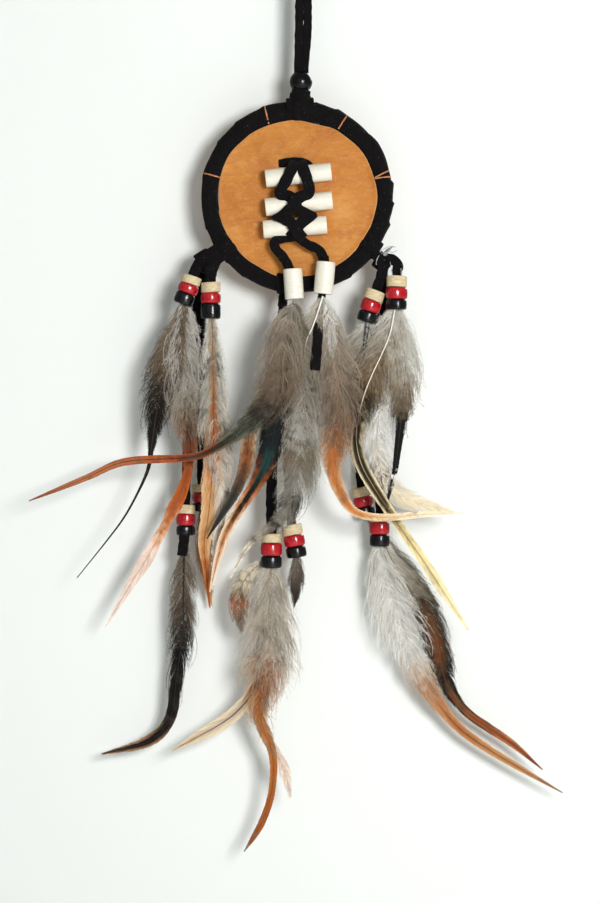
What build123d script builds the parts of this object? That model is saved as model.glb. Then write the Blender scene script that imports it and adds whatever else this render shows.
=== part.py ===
"""Leather-shield dream catcher: suede-wrapped hoop, laced bone pipes, beaded lace pairs and feathers.

It hangs in the X-Z plane and faces -Y. The origin is the inner top of the hanging loop, where a peg
bears. All lengths are millimetres.
"""

import os
from math import cos, radians, sin, tan

from build123d import *

os.makedirs("parts", exist_ok=True)

# Hoop: a 3 inch craft ring wrapped in suede
HOOP_CENTER = (-1.7, 0, -117.7)
RING_RADIUS = 36.5
RING_WIRE = 1.5
WRAP_RADIUS = 3.65

# Leather shield that fills the hoop
LEATHER_FRONT = -2.6
LEATHER_THICK = 1.2
LEATHER_RADIUS = 33.1
STITCH_ANGLES = (23, 62, 112, 163, 19)
STITCH_RADIUS = 0.25

# Hanging loop, its bead and the knot on the hoop
STRAND_RADIUS = 1.2
STRAND_X = 1.25
LOOP_HALF_WIDTH = 3.0
LOOP_FOOT = -73.6
BEAD_RADIUS = 4.7
BEAD_Z = -69.7
BEAD_BORE = 2.55
NECK_TOP = -73.9
NECK_RADIUS = 3.2
NECK_BAR_Z = -75.7
NECK_BAR_RADIUS = 1.2
KNOT_TOP = -77.15
KNOT_WIDTH = 10.2
KNOT_RADIUS = 5.2

# Lace loops round the rim: angle round the hoop, with 0 at the right
RIM_LOOP_ANGLES = (215.7, 327.3, 262.1)
RIM_LOOP_RADIUS = 4.8
RIM_LOOP_WIDTH = 7.0

# Bone pipes lie on the leather, and bone drops hang in front of the rim
PIPE_RADIUS = 3.8
PIPE_BORE = 1.6
PIPE_Y = LEATHER_FRONT - PIPE_RADIUS
DROP_RADIUS = 4.0
DROP_BORE = 2.25
DROP_Y = -9.2

# Gap between tight suede and what it grips
CLEARANCE = 0.02

# Flat suede lace: spread over the pipes, bent in the sling, and squeezed where it is threaded through beads
SPREAD_WIDTH = 4.2
LACE_WIDTH = 3.2
THREADED_WIDTH = 3.2
LACE_THICK = 1.4

# Bore of the stringing beads, and thickness of a feather
STACK_BORE = 1.9
FEATHER_THICK = 0.4


def save(part, name):
    part.part.label = name
    export_step(part.part, f"parts/{name}.step")


def layer(y_middle, thick):
    """Plane whose extrusion by thick, towards the front, fills a layer about y_middle."""
    return Plane.XZ.offset(-(y_middle + thick / 2))


def down_axis(point, distance, lean):
    """Point at a distance down an axis whose foot leans by lean degrees towards +X."""
    return point[0] + distance * sin(radians(lean)), point[1] - distance * cos(radians(lean))


def down_plane(point, y, lean):
    """Plane at a point whose normal runs down such an axis."""
    return Plane((point[0], y, point[1]), x_dir=(0, 1, 0), z_dir=(sin(radians(lean)), 0, -cos(radians(lean))))


def bend_radii(points):
    """Largest arc that each corner of a route has room for."""
    radii = []
    for before, here, after in zip(points, points[1:], points[2:]):
        first = Vector(*here) - Vector(*before)
        second = Vector(*after) - Vector(*here)
        half_turn = radians(first.get_angle(second)) / 2
        radii.append(0.45 * min(first.length, second.length) / tan(half_turn))
    return radii


def lace(points, y_middle, width=LACE_WIDTH):
    """Flat lace in one layer along straight runs and arcs, with a round eye at its first point."""
    radii = bend_radii(points)
    print("lace radii", [round(r, 1) for r in radii])
    with BuildPart(mode=Mode.PRIVATE) as strip:
        with BuildSketch(layer(y_middle, LACE_THICK)):
            with BuildLine():
                if radii:
                    FilletPolyline(*points, radius=radii)
                else:
                    Line(*points)
            trace(line_width=width)
            with Locations(points[0]):
                Circle(width / 2)
        extrude(amount=LACE_THICK)
    return strip.part


def torus(minor, inner=0.0):
    """Ring of round section about the hoop's centre."""
    with BuildPart(mode=Mode.PRIVATE) as ring:
        with BuildSketch(Plane(HOOP_CENTER)):
            with Locations((RING_RADIUS, 0)):
                Circle(minor)
                if inner:
                    Circle(inner, mode=Mode.SUBTRACT)
        revolve(axis=Axis(HOOP_CENTER, (0, 1, 0)))
    return ring.part


def rim_plane(angle):
    """Section plane of the hoop at an angle: x runs outwards, y runs to the back."""
    out = (cos(radians(angle)), 0, sin(radians(angle)))
    origin = Vector(*HOOP_CENTER) + Vector(*out) * RING_RADIUS
    return Plane(origin, x_dir=out, z_dir=Vector(*out).cross(Vector(0, 1, 0)))


# Hoop

with BuildPart() as ring:
    add(torus(RING_WIRE))
save(ring, "hoop_ring")

with BuildPart() as wrap:
    add(torus(WRAP_RADIUS, RING_WIRE))
save(wrap, "hoop_wrap")

with BuildPart() as rim_space:
    add(torus(WRAP_RADIUS + CLEARANCE))
    with BuildSketch(Plane.XZ):
        with Locations((HOOP_CENTER[0], HOOP_CENTER[2])):
            Circle(LEATHER_RADIUS + CLEARANCE)
    extrude(amount=2 * WRAP_RADIUS, both=True)

with BuildPart() as rim_loops:
    for angle in RIM_LOOP_ANGLES:
        with BuildSketch(rim_plane(angle)):
            Circle(RIM_LOOP_RADIUS)
        extrude(amount=RIM_LOOP_WIDTH / 2, both=True)
    add(rim_space.part, mode=Mode.SUBTRACT)
save(rim_loops, "rim_loops")

# Leather shield and its stitches over the rim

with BuildPart() as leather:
    with BuildSketch(layer(LEATHER_FRONT + LEATHER_THICK / 2, LEATHER_THICK)):
        with Locations((HOOP_CENTER[0], HOOP_CENTER[2])):
            Circle(LEATHER_RADIUS)
    extrude(amount=LEATHER_THICK)
save(leather, "shield_leather")

with BuildPart() as stitches:
    for angle in STITCH_ANGLES:
        section = rim_plane(angle)
        thread_line = WRAP_RADIUS + STITCH_RADIUS + 0.02
        with BuildSketch(Plane(section.origin, x_dir=section.x_dir, z_dir=section.y_dir)):
            with Locations((thread_line, 0)):
                Circle(STITCH_RADIUS)
        revolve(axis=Axis(section.origin, -section.z_dir), revolution_arc=125)
save(stitches, "shield_stitches")

# Bone pipes: centre of each and its rise to the right in degrees

PIPES = {
    "bone_pipe_upper": ((-1.1, -109.2), 27.5, 6.3),
    "bone_pipe_middle": ((-0.9, -121.1), 28.0, 6.2),
    "bone_pipe_lower": ((-2.5, -130.8), 26.5, 4.3),
}
for name, (middle, length, rise) in PIPES.items():
    with BuildPart() as pipe:
        axis = (cos(radians(rise)), 0, sin(radians(rise)))
        with BuildSketch(Plane((middle[0], PIPE_Y, middle[1]), z_dir=axis)):
            Circle(PIPE_RADIUS)
            Circle(PIPE_BORE, mode=Mode.SUBTRACT)
        extrude(amount=length / 2, both=True)
    save(pipe, name)

# Breastplate lace: a bar through the leather, two legs and their crossings in front of the pipes

with BuildPart() as breastplate:
    front_y = PIPE_Y - PIPE_RADIUS - LACE_THICK / 2
    add(lace([(-4.4, -104.2), (-9.0, -117.2), (5.6, -126.2), (-4.6, -135.4)], front_y, SPREAD_WIDTH))
    add(lace([(0.2, -104.2), (4.4, -116.5), (-10.4, -126.6), (0.8, -135.6)], front_y, SPREAD_WIDTH))
    leg_depth = LEATHER_FRONT - front_y
    with BuildSketch(Plane.XZ.offset(-LEATHER_FRONT)):
        with Locations((-2.3, -102.3)):
            Rectangle(12.8, SPREAD_WIDTH)
    extrude(amount=leg_depth)
save(breastplate, "breastplate_lace")

# Hanging loop of round-pressed suede lace, the bead on it and the knot on the hoop

loop_route = [
    (-STRAND_X, LOOP_FOOT),
    (-STRAND_X, -30),
    (-LOOP_HALF_WIDTH, -10),
    (-LOOP_HALF_WIDTH, STRAND_RADIUS),
    (LOOP_HALF_WIDTH, STRAND_RADIUS),
    (LOOP_HALF_WIDTH, -10),
    (STRAND_X, -30),
    (STRAND_X, LOOP_FOOT),
]
with BuildPart() as hanging_loop:
    with BuildLine(Plane.XZ) as loop_line:
        FilletPolyline(*loop_route, radius=bend_radii(loop_route))
    with BuildSketch(Plane((-STRAND_X, 0, LOOP_FOOT))):
        Circle(STRAND_RADIUS)
    sweep(path=loop_line.wire())
save(hanging_loop, "hanging_loop")
print("hanging loop length", round(loop_line.wire().length, 1))

with BuildPart() as loop_bead:
    with Locations((0, 0, BEAD_Z)):
        Sphere(BEAD_RADIUS)
    with BuildSketch(Plane((0, 0, BEAD_Z - BEAD_RADIUS))):
        Circle(BEAD_BORE)
    extrude(amount=2 * BEAD_RADIUS, mode=Mode.SUBTRACT)
save(loop_bead, "loop_bead")

with BuildPart() as loop_neck:
    with BuildSketch(Plane.XY.offset(NECK_TOP)):
        Circle(NECK_RADIUS)
    extrude(amount=NECK_BAR_Z + NECK_BAR_RADIUS / 2 - NECK_TOP)
    with BuildSketch(Plane((0, 0, NECK_BAR_Z), z_dir=(1, 0, 0))):
        Circle(NECK_BAR_RADIUS)
    extrude(amount=KNOT_WIDTH / 3, both=True)
save(loop_neck, "loop_neck")

with BuildPart() as hanger_knot:
    rim_top = HOOP_CENTER[2] + RING_RADIUS
    with BuildSketch(Plane((-0.2, 0, rim_top), z_dir=(1, 0, 0))):
        Circle(KNOT_RADIUS)
    extrude(amount=KNOT_WIDTH / 2, both=True)
    split(bisect_by=Plane.XY.offset(KNOT_TOP), keep=Keep.BOTTOM)
    add(rim_space.part, mode=Mode.SUBTRACT)
save(hanger_knot, "hanger_knot")

# Lace tails that carry the bone drops, lifted about a round bar under the lowest pipe

SLING_AXIS = (-7.0, -137.0)
SLING_RADIUS = 1.4
LEFT_TAIL = [(-5.6, -138.0), (-10.6, -140.2), (-9.6, -143.6), (-6.4, -145.4)]
RIGHT_TAIL = [(0.8, -138.0), (2.6, -140.6), (7.6, -142.8), (10.4, -143.0)]
TAIL_Y = DROP_Y + LACE_THICK + 0.3

with BuildPart() as drop_sling:
    with BuildSketch(Plane((-2.2, SLING_AXIS[0], SLING_AXIS[1]), z_dir=(1, 0, 0))):
        Circle(SLING_RADIUS)
    extrude(amount=5.2, both=True)
    add(lace(LEFT_TAIL, TAIL_Y))
    add(lace(RIGHT_TAIL, TAIL_Y))
save(drop_sling, "drop_sling")

# Bone drops on their laces: eye of the lace, top of the bone, lean, length and where the lace ends

DROPS = {
    "left": ((-6.6, -145.4), (-3.5, -148.3), 3.8, 12.6, [(-2.8, -159.0)]),
    "right": ((9.9, -143.0), (10.4, -145.4), -5.2, 13.4, [(8.6, -160.5), (5.8, -190.0)]),
}
for side, (eye, top, lean, length, tail) in DROPS.items():
    with BuildPart() as bone:
        with BuildSketch(down_plane(top, DROP_Y, lean)):
            Circle(DROP_RADIUS)
            Circle(DROP_BORE, mode=Mode.SUBTRACT)
        extrude(amount=length)
    save(bone, f"bone_drop_{side}")
    with BuildPart() as drop_lace:
        add(lace([eye, top, *tail], DROP_Y, THREADED_WIDTH))
    save(drop_lace, f"drop_{side}_lace")

# Knots: a round barrel across each gathering of laces, clear of its rim loop

KNOTS = {
    "left_knot": ((-40.0, 2.4, -144.5), 3.5, 7.0),
    "right_knot": ((35.0, 2.4, -146.0), 3.5, 7.0),
    "center_knot": ((-7.5, 0.0, -161.2), 2.0, 9.0),
}
for name, (middle, radius, length) in KNOTS.items():
    with BuildPart() as knot:
        with BuildSketch(Plane(middle, z_dir=(1, 0, 0))):
            Circle(radius)
        extrude(amount=length / 2, both=True)
    save(knot, name)

# Lace pairs. Each tail: layer, route from its eye, top of its bead stack, lean, bead radius, bead heights

PAIRS = {
    "left_short": [
        (-2.6, [(-42.6, -146.0)], (-45.1, -151.0), -16, 4.15, (3.6, 4.0, 4.9)),
        (-4.4, [(-42.6, -146.0)], (-37.5, -153.6), 0, 4.15, (4.3, 4.6, 6.4)),
    ],
    "left_long": [
        (6.9, [(-41.5, -145.5), (-44.6, -168.0)], (-48.4, -246.3), 0, 4.0, (3.8, 5.0, 4.2)),
        (11.8, [(-41.5, -145.5), (-40.6, -168.0)], (-42.0, -238.0), 0, 3.9, (3.4, 4.2, 3.7)),
    ],
    "right_short": [
        (-2.6, [(34.0, -147.0)], (31.2, -156.9), -16, 4.2, (4.4, 4.9, 4.6)),
        (-4.4, [(34.0, -147.0)], (39.7, -151.1), 0, 4.4, (4.6, 5.0, 4.4)),
    ],
    "right_long": [
        (6.9, [(34.5, -147.0), (35.4, -176.0)], (33.0, -250.1), 0, 4.2, (3.4, 5.4, 5.0)),
        (13.4, [(34.5, -147.0), (29.0, -176.0)], (25.0, -239.0), 12, 4.0, (4.0, 4.6, 4.4)),
    ],
    "center_long": [
        (-0.8, [(-7.5, -165.4), (-9.6, -190.0)], (-12.4, -258.4), 0, 4.4, (3.8, 5.4, 5.0)),
        (0.8, [(-7.5, -165.4), (-6.8, -190.0)], (-4.0, -254.6), 10, 4.3, (4.4, 4.9, 4.6)),
    ],
}
BEADS = ("wood_beads", "red_beads", "black_beads")

for pair, tails in PAIRS.items():
    with BuildPart() as laces:
        for y, route, top, lean, radius, heights in tails:
            above = down_axis(top, -3.0, lean)
            inside = down_axis(top, heights[0] + heights[1] - 0.5, lean)
            add(lace([*route, above, inside], y, THREADED_WIDTH))
    save(laces, f"{pair}_laces")
    for index, bead_name in enumerate(BEADS):
        with BuildPart() as beads:
            for y, route, top, lean, radius, heights in tails:
                start = down_axis(top, sum(heights[:index]), lean)
                with BuildSketch(down_plane(start, y, lean)):
                    Circle(radius)
                    Circle(STACK_BORE, mode=Mode.SUBTRACT)
                extrude(amount=heights[index])
        save(beads, f"{pair}_{bead_name}")

# Feathers. Each: middle of its layer, and points down its shaft with the half width there

FEATHERS = {
    "left_short_outer_dark": (-2.9, [
        (-47.9, -160.0, 0.5), (-49.0, -165.5, 1.2), (-54.5, -186.0, 7.0), (-60.0, -212.0, 5.0),
        (-63.5, -230.0, 2.4), (-72.5, -249.0, 1.2), (-93.1, -276.4, 0.4)]),
    "left_short_outer_pink": (-2.2, [
        (-47.9, -160.0, 0.5), (-47.4, -166.0, 1.2), (-48.0, -186.0, 5.5), (-47.6, -213.0, 5.0),
        (-48.0, -232.0, 3.4), (-56.0, -257.0, 2.8), (-81.0, -296.4, 0.4)]),
    "left_short_inner_grey": (-4.8, [
        (-37.5, -165.0, 0.5), (-37.4, -171.0, 1.2), (-36.0, -190.0, 5.5), (-34.0, -215.0, 5.0),
        (-34.0, -240.0, 3.4), (-36.7, -281.8, 0.4)]),
    "left_short_inner_tan": (-4.1, [
        (-37.5, -165.0, 0.5), (-37.2, -173.0, 1.2), (-36.8, -215.0, 3.0), (-39.8, -244.0, 3.2),
        (-40.0, -268.0, 2.4), (-38.0, -288.1, 0.4)]),
    "left_long_outer": (5.7, [
        (-48.4, -257.0, 0.5), (-48.4, -262.0, 1.2), (-48.0, -280.0, 5.5), (-48.8, -300.0, 4.5),
        (-52.2, -319.0, 2.2), (-55.0, -336.0, 2.0), (-64.0, -345.5, 2.0), (-82.7, -350.7, 0.4)]),
    "left_long_inner": (11.8, [
        (-42.0, -247.0, 0.5), (-41.5, -252.0, 1.2), (-40.6, -266.0, 3.2), (-38.0, -288.0, 0.5)]),
    "drop_left_sweeping": (-13.0, [
        (-2.7, -161.6, 0.8), (-5.0, -178.0, 9.0), (-9.5, -198.0, 9.5), (-23.0, -215.0, 4.5),
        (-46.0, -226.0, 2.2), (-79.5, -231.7, 1.6), (-111.9, -244.2, 0.4)]),
    "drop_left_grey": (-12.3, [
        (-2.2, -161.6, 0.6), (1.2, -190.0, 4.0), (0.8, -219.0, 5.0), (-3.5, -241.0, 4.5),
        (-12.0, -258.0, 2.5), (-28.8, -275.6, 0.4)]),
    "drop_left_black": (-10.4, [
        (-3.0, -161.6, 0.6), (-5.4, -186.0, 3.0), (-10.9, -219.0, 3.4), (-18.0, -236.0, 3.2),
        (-29.0, -252.0, 2.2), (-40.1, -273.5, 0.4)]),
    "drop_right_pale": (-11.6, [
        (9.2, -160.2, 0.6), (8.0, -168.0, 4.0), (3.6, -184.0, 5.0), (1.8, -202.5, 4.0),
        (2.6, -216.0, 0.5)]),
    "drop_right_hackle": (-11.0, [
        (9.6, -160.2, 0.6), (12.0, -177.0, 6.0), (13.0, -200.0, 7.5), (13.5, -220.0, 4.0),
        (17.0, -239.0, 2.4), (28.0, -250.0, 2.2), (67.6, -249.3, 0.4)]),
    "right_short_inner": (-2.9, [
        (28.0, -167.6, 0.5), (27.2, -172.5, 1.2), (24.5, -188.0, 6.5), (20.5, -206.0, 6.5),
        (21.0, -224.0, 0.5)]),
    "right_short_outer_hackle": (-4.8, [
        (39.7, -162.0, 0.5), (39.3, -168.0, 1.2), (37.5, -182.0, 9.0), (31.0, -199.0, 8.0),
        (24.5, -217.0, 2.8), (26.5, -234.0, 2.6), (42.0, -262.0, 2.6), (69.3, -297.7, 0.4)]),
    "right_short_outer_black": (-4.1, [
        (39.8, -162.0, 0.5), (40.2, -166.0, 0.7), (42.6, -173.0, 1.2), (43.2, -203.0, 2.2), (41.6, -222.0, 2.0),
        (36.3, -243.4, 0.6)]),
    "right_long_white": (6.5, [
        (33.0, -260.6, 0.5), (32.8, -266.0, 1.2), (34.0, -286.0, 9.0), (41.0, -308.0, 8.5),
        (56.0, -328.0, 4.0), (76.0, -342.5, 2.4), (101.9, -357.8, 0.4)]),
    "right_long_dark": (7.3, [
        (33.0, -260.6, 0.5), (33.6, -265.0, 0.7), (38.5, -272.0, 1.6), (51.0, -287.0, 4.0), (58.5, -309.0, 5.0),
        (67.0, -329.0, 4.0), (84.0, -345.5, 2.4), (109.4, -367.0, 0.4)]),
    "center_long_grey": (-1.0, [
        (-12.4, -269.0, 0.5), (-12.6, -274.0, 1.2), (-13.4, -294.0, 10.0), (-14.6, -316.0, 9.0),
        (-14.0, -333.0, 4.5), (-12.0, -352.0, 2.2), (-14.5, -371.0, 1.8), (-23.4, -390.4, 0.4)]),
    "center_long_shaft": (-0.3, [
        (-12.6, -269.0, 0.5), (-15.0, -288.0, 2.0), (-19.0, -317.0, 2.6), (-30.0, -333.5, 2.4),
        (-53.9, -348.6, 0.4)]),
    "center_long_small": (0.8, [
        (-1.8, -266.0, 0.5), (-1.4, -270.5, 1.4), (-1.7, -278.0, 3.2), (-2.9, -286.8, 0.5)]),
}

for name, (y, shaft) in FEATHERS.items():
    line = [Vector(x, z) for x, z, half in shaft]
    left, right = [], []
    for index, (x, z, half) in enumerate(shaft):
        run = line[min(index + 1, len(line) - 1)] - line[max(index - 1, 0)]
        across = run.normalized().rotate(Axis.Z, 90) * half
        left.append(line[index] - across)
        right.append(line[index] + across)
    with BuildPart() as feather:
        with BuildSketch(layer(y, FEATHER_THICK)):
            with BuildLine():
                Spline(*left)
                Line(left[-1], right[-1])
                Spline(*reversed(right))
                Line(right[0], left[0])
            make_face()
        extrude(amount=FEATHER_THICK)
    save(feather, f"feather_{name}")
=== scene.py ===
"""Looks of the leather-shield dream catcher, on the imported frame.

Tables are in millimetres and objects in metres."""

import zlib
from math import cos, pi, radians, sin

import bpy
import numpy as np
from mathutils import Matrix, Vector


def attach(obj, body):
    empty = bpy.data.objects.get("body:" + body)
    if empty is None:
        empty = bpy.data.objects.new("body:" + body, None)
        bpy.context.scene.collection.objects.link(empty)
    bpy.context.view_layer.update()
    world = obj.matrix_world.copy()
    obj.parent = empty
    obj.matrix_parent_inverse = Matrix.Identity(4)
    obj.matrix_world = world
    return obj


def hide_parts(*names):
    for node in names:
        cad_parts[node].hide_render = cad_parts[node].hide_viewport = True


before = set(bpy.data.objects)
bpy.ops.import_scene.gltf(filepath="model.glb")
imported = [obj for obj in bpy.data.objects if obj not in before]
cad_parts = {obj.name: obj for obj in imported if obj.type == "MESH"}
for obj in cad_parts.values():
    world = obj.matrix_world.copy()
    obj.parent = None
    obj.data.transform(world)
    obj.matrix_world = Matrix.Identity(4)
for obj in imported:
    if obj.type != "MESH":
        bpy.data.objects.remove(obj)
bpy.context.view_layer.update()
MM = 0.001


# ---------------------------------------------------------------- camera, lights and stage

VIEW_HEIGHT = 0.377
VIEW_DISTANCE = 1.25
SENSOR = 36
AIM = (0, 0, -0.2)

camera_data = bpy.data.cameras.new("camera")
camera_data.sensor_fit = "VERTICAL"
camera_data.sensor_height = SENSOR
camera_data.lens = SENSOR * VIEW_DISTANCE / VIEW_HEIGHT
camera = bpy.data.objects.new("camera", camera_data)
camera.location = (-0.0004, -VIEW_DISTANCE, -0.224)
camera.rotation_euler = (pi / 2, 0, 0)
bpy.context.collection.objects.link(camera)
bpy.context.scene.camera = camera
bpy.context.scene.view_settings.view_transform = "Standard"


def area_light(name, place, size, energy):
    """A round white lamp aimed at the middle of the object."""
    data = bpy.data.lights.new(name, "AREA")
    data.shape, data.size, data.energy = "DISK", size, energy
    light = bpy.data.objects.new(name, data)
    light.location = place
    away = np.array(place, float) - np.array(AIM, float)
    light.rotation_euler = Vector(away).to_track_quat("Z", "Y").to_euler()
    bpy.context.collection.objects.link(light)


area_light("key", (0.34, -0.98, -0.08), 0.3, 8.5)
area_light("fill", (-0.5, -1.6, 0.3), 1.2, 1.2)
area_light("back", (0.7, 1.1, 0.5), 0.8, 9)

world = bpy.data.worlds.new("studio")
world.use_nodes = True
world.node_tree.nodes["Background"].inputs["Color"].default_value = (0.96, 1.0, 0.97, 1)
world.node_tree.nodes["Background"].inputs["Strength"].default_value = 0.245
bpy.context.scene.world = world


# ---------------------------------------------------------------- materials


def linear(r, g, b):
    """Linear colour of an 8-bit display colour."""
    return tuple((c / 255 / 12.92) if c <= 10 else ((c / 255 + 0.055) / 1.055) ** 2.4 for c in (r, g, b))


class Nodes:
    """A material's tree and the few nodes that these materials share."""

    def __init__(self, name, **sockets):
        self.material = bpy.data.materials.new(name)
        self.material.use_nodes = True
        self.tree = self.material.node_tree
        self.shader = self.tree.nodes["Principled BSDF"]
        for socket, value in sockets.items():
            self.shader.inputs[socket.replace("_", " ")].default_value = value
        self.place = None

    def link(self, value, socket):
        if isinstance(value, bpy.types.NodeSocket):
            self.tree.links.new(value, socket)
        elif value is not None:
            socket.default_value = value

    def node(self, kind, **settings):
        node = self.tree.nodes.new(kind)
        for key, value in settings.items():
            setattr(node, key, value)
        return node

    def coordinates(self, stretch=(1, 1, 1), turn=(0, 0, 0)):
        if self.place is None:
            self.place = self.node("ShaderNodeTexCoord").outputs["Object"]
        mapping = self.node("ShaderNodeMapping")
        mapping.inputs["Scale"].default_value = stretch
        mapping.inputs["Rotation"].default_value = turn
        self.link(self.place, mapping.inputs["Vector"])
        return mapping.outputs["Vector"]

    def noise(self, scale, detail=3, rough=0.55, stretch=(1, 1, 1), turn=(0, 0, 0), bend=0):
        node = self.node("ShaderNodeTexNoise")
        self.link(self.coordinates(stretch, turn), node.inputs["Vector"])
        for key, value in (("Scale", scale), ("Detail", detail), ("Roughness", rough), ("Distortion", bend)):
            node.inputs[key].default_value = value
        return node.outputs["Fac"]

    def cells(self, scale, stretch=(1, 1, 1)):
        node = self.node("ShaderNodeTexVoronoi", feature="DISTANCE_TO_EDGE")
        self.link(self.coordinates(stretch), node.inputs["Vector"])
        node.inputs["Scale"].default_value = scale
        return node.outputs["Distance"]

    def attribute(self, name):
        return self.node("ShaderNodeAttribute", attribute_name=name).outputs["Fac"]

    def math(self, operation, a, b=None, c=None):
        node = self.node("ShaderNodeMath", operation=operation)
        for value, socket in zip((a, b, c), node.inputs):
            self.link(value, socket)
        return node.outputs[0]

    def ramp(self, value, stops):
        node = self.node("ShaderNodeValToRGB")
        elements = node.color_ramp.elements
        while len(elements) < len(stops):
            elements.new(1)
        for element, (position, color) in zip(elements, stops):
            element.position = position
            element.color = (*color, 1) if len(color) == 3 else color
        self.link(value, node.inputs["Fac"])
        return node.outputs["Color"]

    def grey(self, value, low, high, start=0.3, end=0.7):
        """Number from low to high as value goes from start to end."""
        node = self.node("ShaderNodeMapRange")
        for key, number in (("From Min", start), ("From Max", end), ("To Min", low), ("To Max", high)):
            node.inputs[key].default_value = number
        self.link(value, node.inputs["Value"])
        return node.outputs["Result"]

    def mix(self, share, a, b, kind="MIX"):
        node = self.node("ShaderNodeMix", data_type="RGBA", blend_type=kind)
        self.link(share, node.inputs["Factor"])
        for value, socket in ((a, node.inputs["A"]), (b, node.inputs["B"])):
            self.link((*value, 1) if isinstance(value, tuple) and len(value) == 3 else value, socket)
        return node.outputs["Result"]

    def scaled(self, color, by):
        node = self.node("ShaderNodeVectorMath", operation="SCALE")
        self.link(color, node.inputs["Vector"])
        self.link(by, node.inputs["Scale"])
        return node.outputs["Vector"]

    def color(self, value):
        self.link(value, self.shader.inputs["Base Color"])

    def roughness(self, value):
        self.link(value, self.shader.inputs["Roughness"])

    def bump(self, *layers):
        """Stacked bumps, each a height, a strength and a depth in millimetres."""
        normal = None
        for height, strength, depth in layers:
            node = self.node("ShaderNodeBump")
            node.inputs["Strength"].default_value = strength
            node.inputs["Distance"].default_value = depth * MM
            self.link(height, node.inputs["Height"])
            self.link(normal, node.inputs["Normal"])
            normal = node.outputs["Normal"]
        self.link(normal, self.shader.inputs["Normal"])


def suede_material():
    """Black suede: a short nap, worn patches and a few specks of lint."""
    m = Nodes("suede", Specular_IOR_Level=0.1, Sheen_Weight=0.03, Sheen_Roughness=0.5)
    nap = m.noise(1900, 4, 0.7)
    patches = m.noise(260, 3, 0.6)
    dark = m.mix(m.grey(nap, 0, 1), linear(5, 4, 5), linear(27, 24, 25))
    lint = m.grey(m.noise(1500, 1, 0.4), 0, 0.8, 0.735, 0.76)
    m.color(m.mix(lint, m.mix(m.grey(patches, 0, 0.7), dark, linear(12, 10, 11)), linear(70, 74, 80)))
    m.roughness(m.grey(nap, 0.86, 1.0))
    m.bump((patches, 0.5, 0.5), (nap, 0.8, 0.3))
    return m.material


def leather_material():
    """Tan leather: cloudy dye, streaks and scratches, paler at its cut edge."""
    m = Nodes("tan_leather", Specular_IOR_Level=0.35)
    clouds = m.noise(38, 4, 0.6, bend=0.6)
    patches = m.noise(150, 5, 0.65, bend=0.4)
    streaks = m.noise(150, 5, 0.72, stretch=(0.4, 1, 1.9), turn=(0, 0.5, 0), bend=1.2)
    creases = m.cells(190, stretch=(0.45, 1, 1.5))
    pores = m.noise(2400, 2, 0.6)
    tans = [(0.32, (166, 97, 25)), (0.45, (187, 115, 38)), (0.56, (194, 124, 46)), (0.7, (206, 143, 70))]
    base = m.ramp(clouds, [(place, linear(*tan)) for place, tan in tans])
    base = m.mix(m.grey(patches, 0, 0.4, 0.5, 0.78), base, linear(208, 150, 82))
    base = m.mix(m.grey(streaks, 0, 0.45, 0.5, 0.7), base, linear(160, 86, 30))
    fine = m.noise(430, 5, 0.75, stretch=(0.7, 1, 1), turn=(0, 0.3, 0), bend=0.6)
    base = m.mix(m.grey(fine, 0, 0.42, 0.5, 0.7), base, linear(214, 160, 98))
    scratches = m.noise(900, 3, 0.7, stretch=(0.25, 1, 1), turn=(0, -0.2, 0))
    base = m.mix(m.grey(scratches, 0, 0.4, 0.56, 0.72), base, linear(168, 88, 40))
    rim = m.attribute("edge")
    m.color(m.mix(m.grey(rim, 0, 0.85, 0.55, 1.0), base, linear(226, 186, 140)))
    m.roughness(m.grey(patches, 0.55, 0.75))
    m.bump((streaks, 0.5, 0.35), (creases, 0.35, 0.15), (pores, 0.35, 0.08))
    return m.material


def bone_material():
    """Polished bone with a fine grain and stains, with painted shade darkening the inside of its bore, and a
    little darker at its cut lips.
    """
    depth = (0.002, 0.0016, 0.001)
    glow = {"Subsurface_Weight": 0.08, "Subsurface_Radius": depth, "Subsurface_Scale": 1.0}
    m = Nodes("bone", Specular_IOR_Level=0.45, **glow)
    grain = m.noise(700, 4, 0.65, stretch=(0.3, 1, 1))
    stain = m.noise(180, 3, 0.6)
    base = m.mix(m.grey(grain, 0, 1), linear(240, 237, 225), linear(228, 222, 202))
    base = m.mix(m.grey(stain, 0, 0.35, 0.5, 0.75), base, linear(218, 204, 174))
    # painted shade: the edge mark is 1 inside the bore, which is darkened most, and 0.65 on the rounded lips,
    # which are darkened a little
    end = m.attribute("edge")
    m.color(m.mix(m.grey(end, 0, 0.75, 0.6, 1.0), base, linear(196, 178, 142)))
    m.roughness(m.grey(grain, 0.3, 0.5))
    m.bump((grain, 0.25, 0.12), (stain, 0.2, 0.3))
    return m.material


def wood_material():
    m = Nodes("wood_bead", Specular_IOR_Level=0.25)
    grain = m.noise(420, 4, 0.6, stretch=(1, 1, 3.2), bend=0.6)
    fleck = m.noise(1500, 2, 0.7)
    base = m.mix(m.grey(grain, 0, 1), linear(226, 210, 176), linear(194, 172, 130))
    m.color(m.mix(m.grey(fleck, 0, 0.45, 0.55, 0.8), base, linear(166, 138, 98)))
    m.roughness(m.grey(grain, 0.65, 0.85))
    m.bump((grain, 0.4, 0.2), (fleck, 0.3, 0.08))
    return m.material


def glass_material(name, deep, light, rough=(0.1, 0.26), shine=0.5, coat=0.3):
    m = Nodes(name, Specular_IOR_Level=shine, Coat_Weight=coat, Coat_Roughness=0.05)
    swirl = m.noise(360, 3, 0.6, stretch=(1, 1, 2.5), bend=0.8)
    dust = m.noise(1500, 3, 0.6)
    m.color(m.mix(m.grey(swirl, 0, 1), deep, light))
    m.roughness(m.grey(dust, *rough))
    m.bump((swirl, 0.35, 0.3), (dust, 0.08, 0.05))
    return m.material


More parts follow.
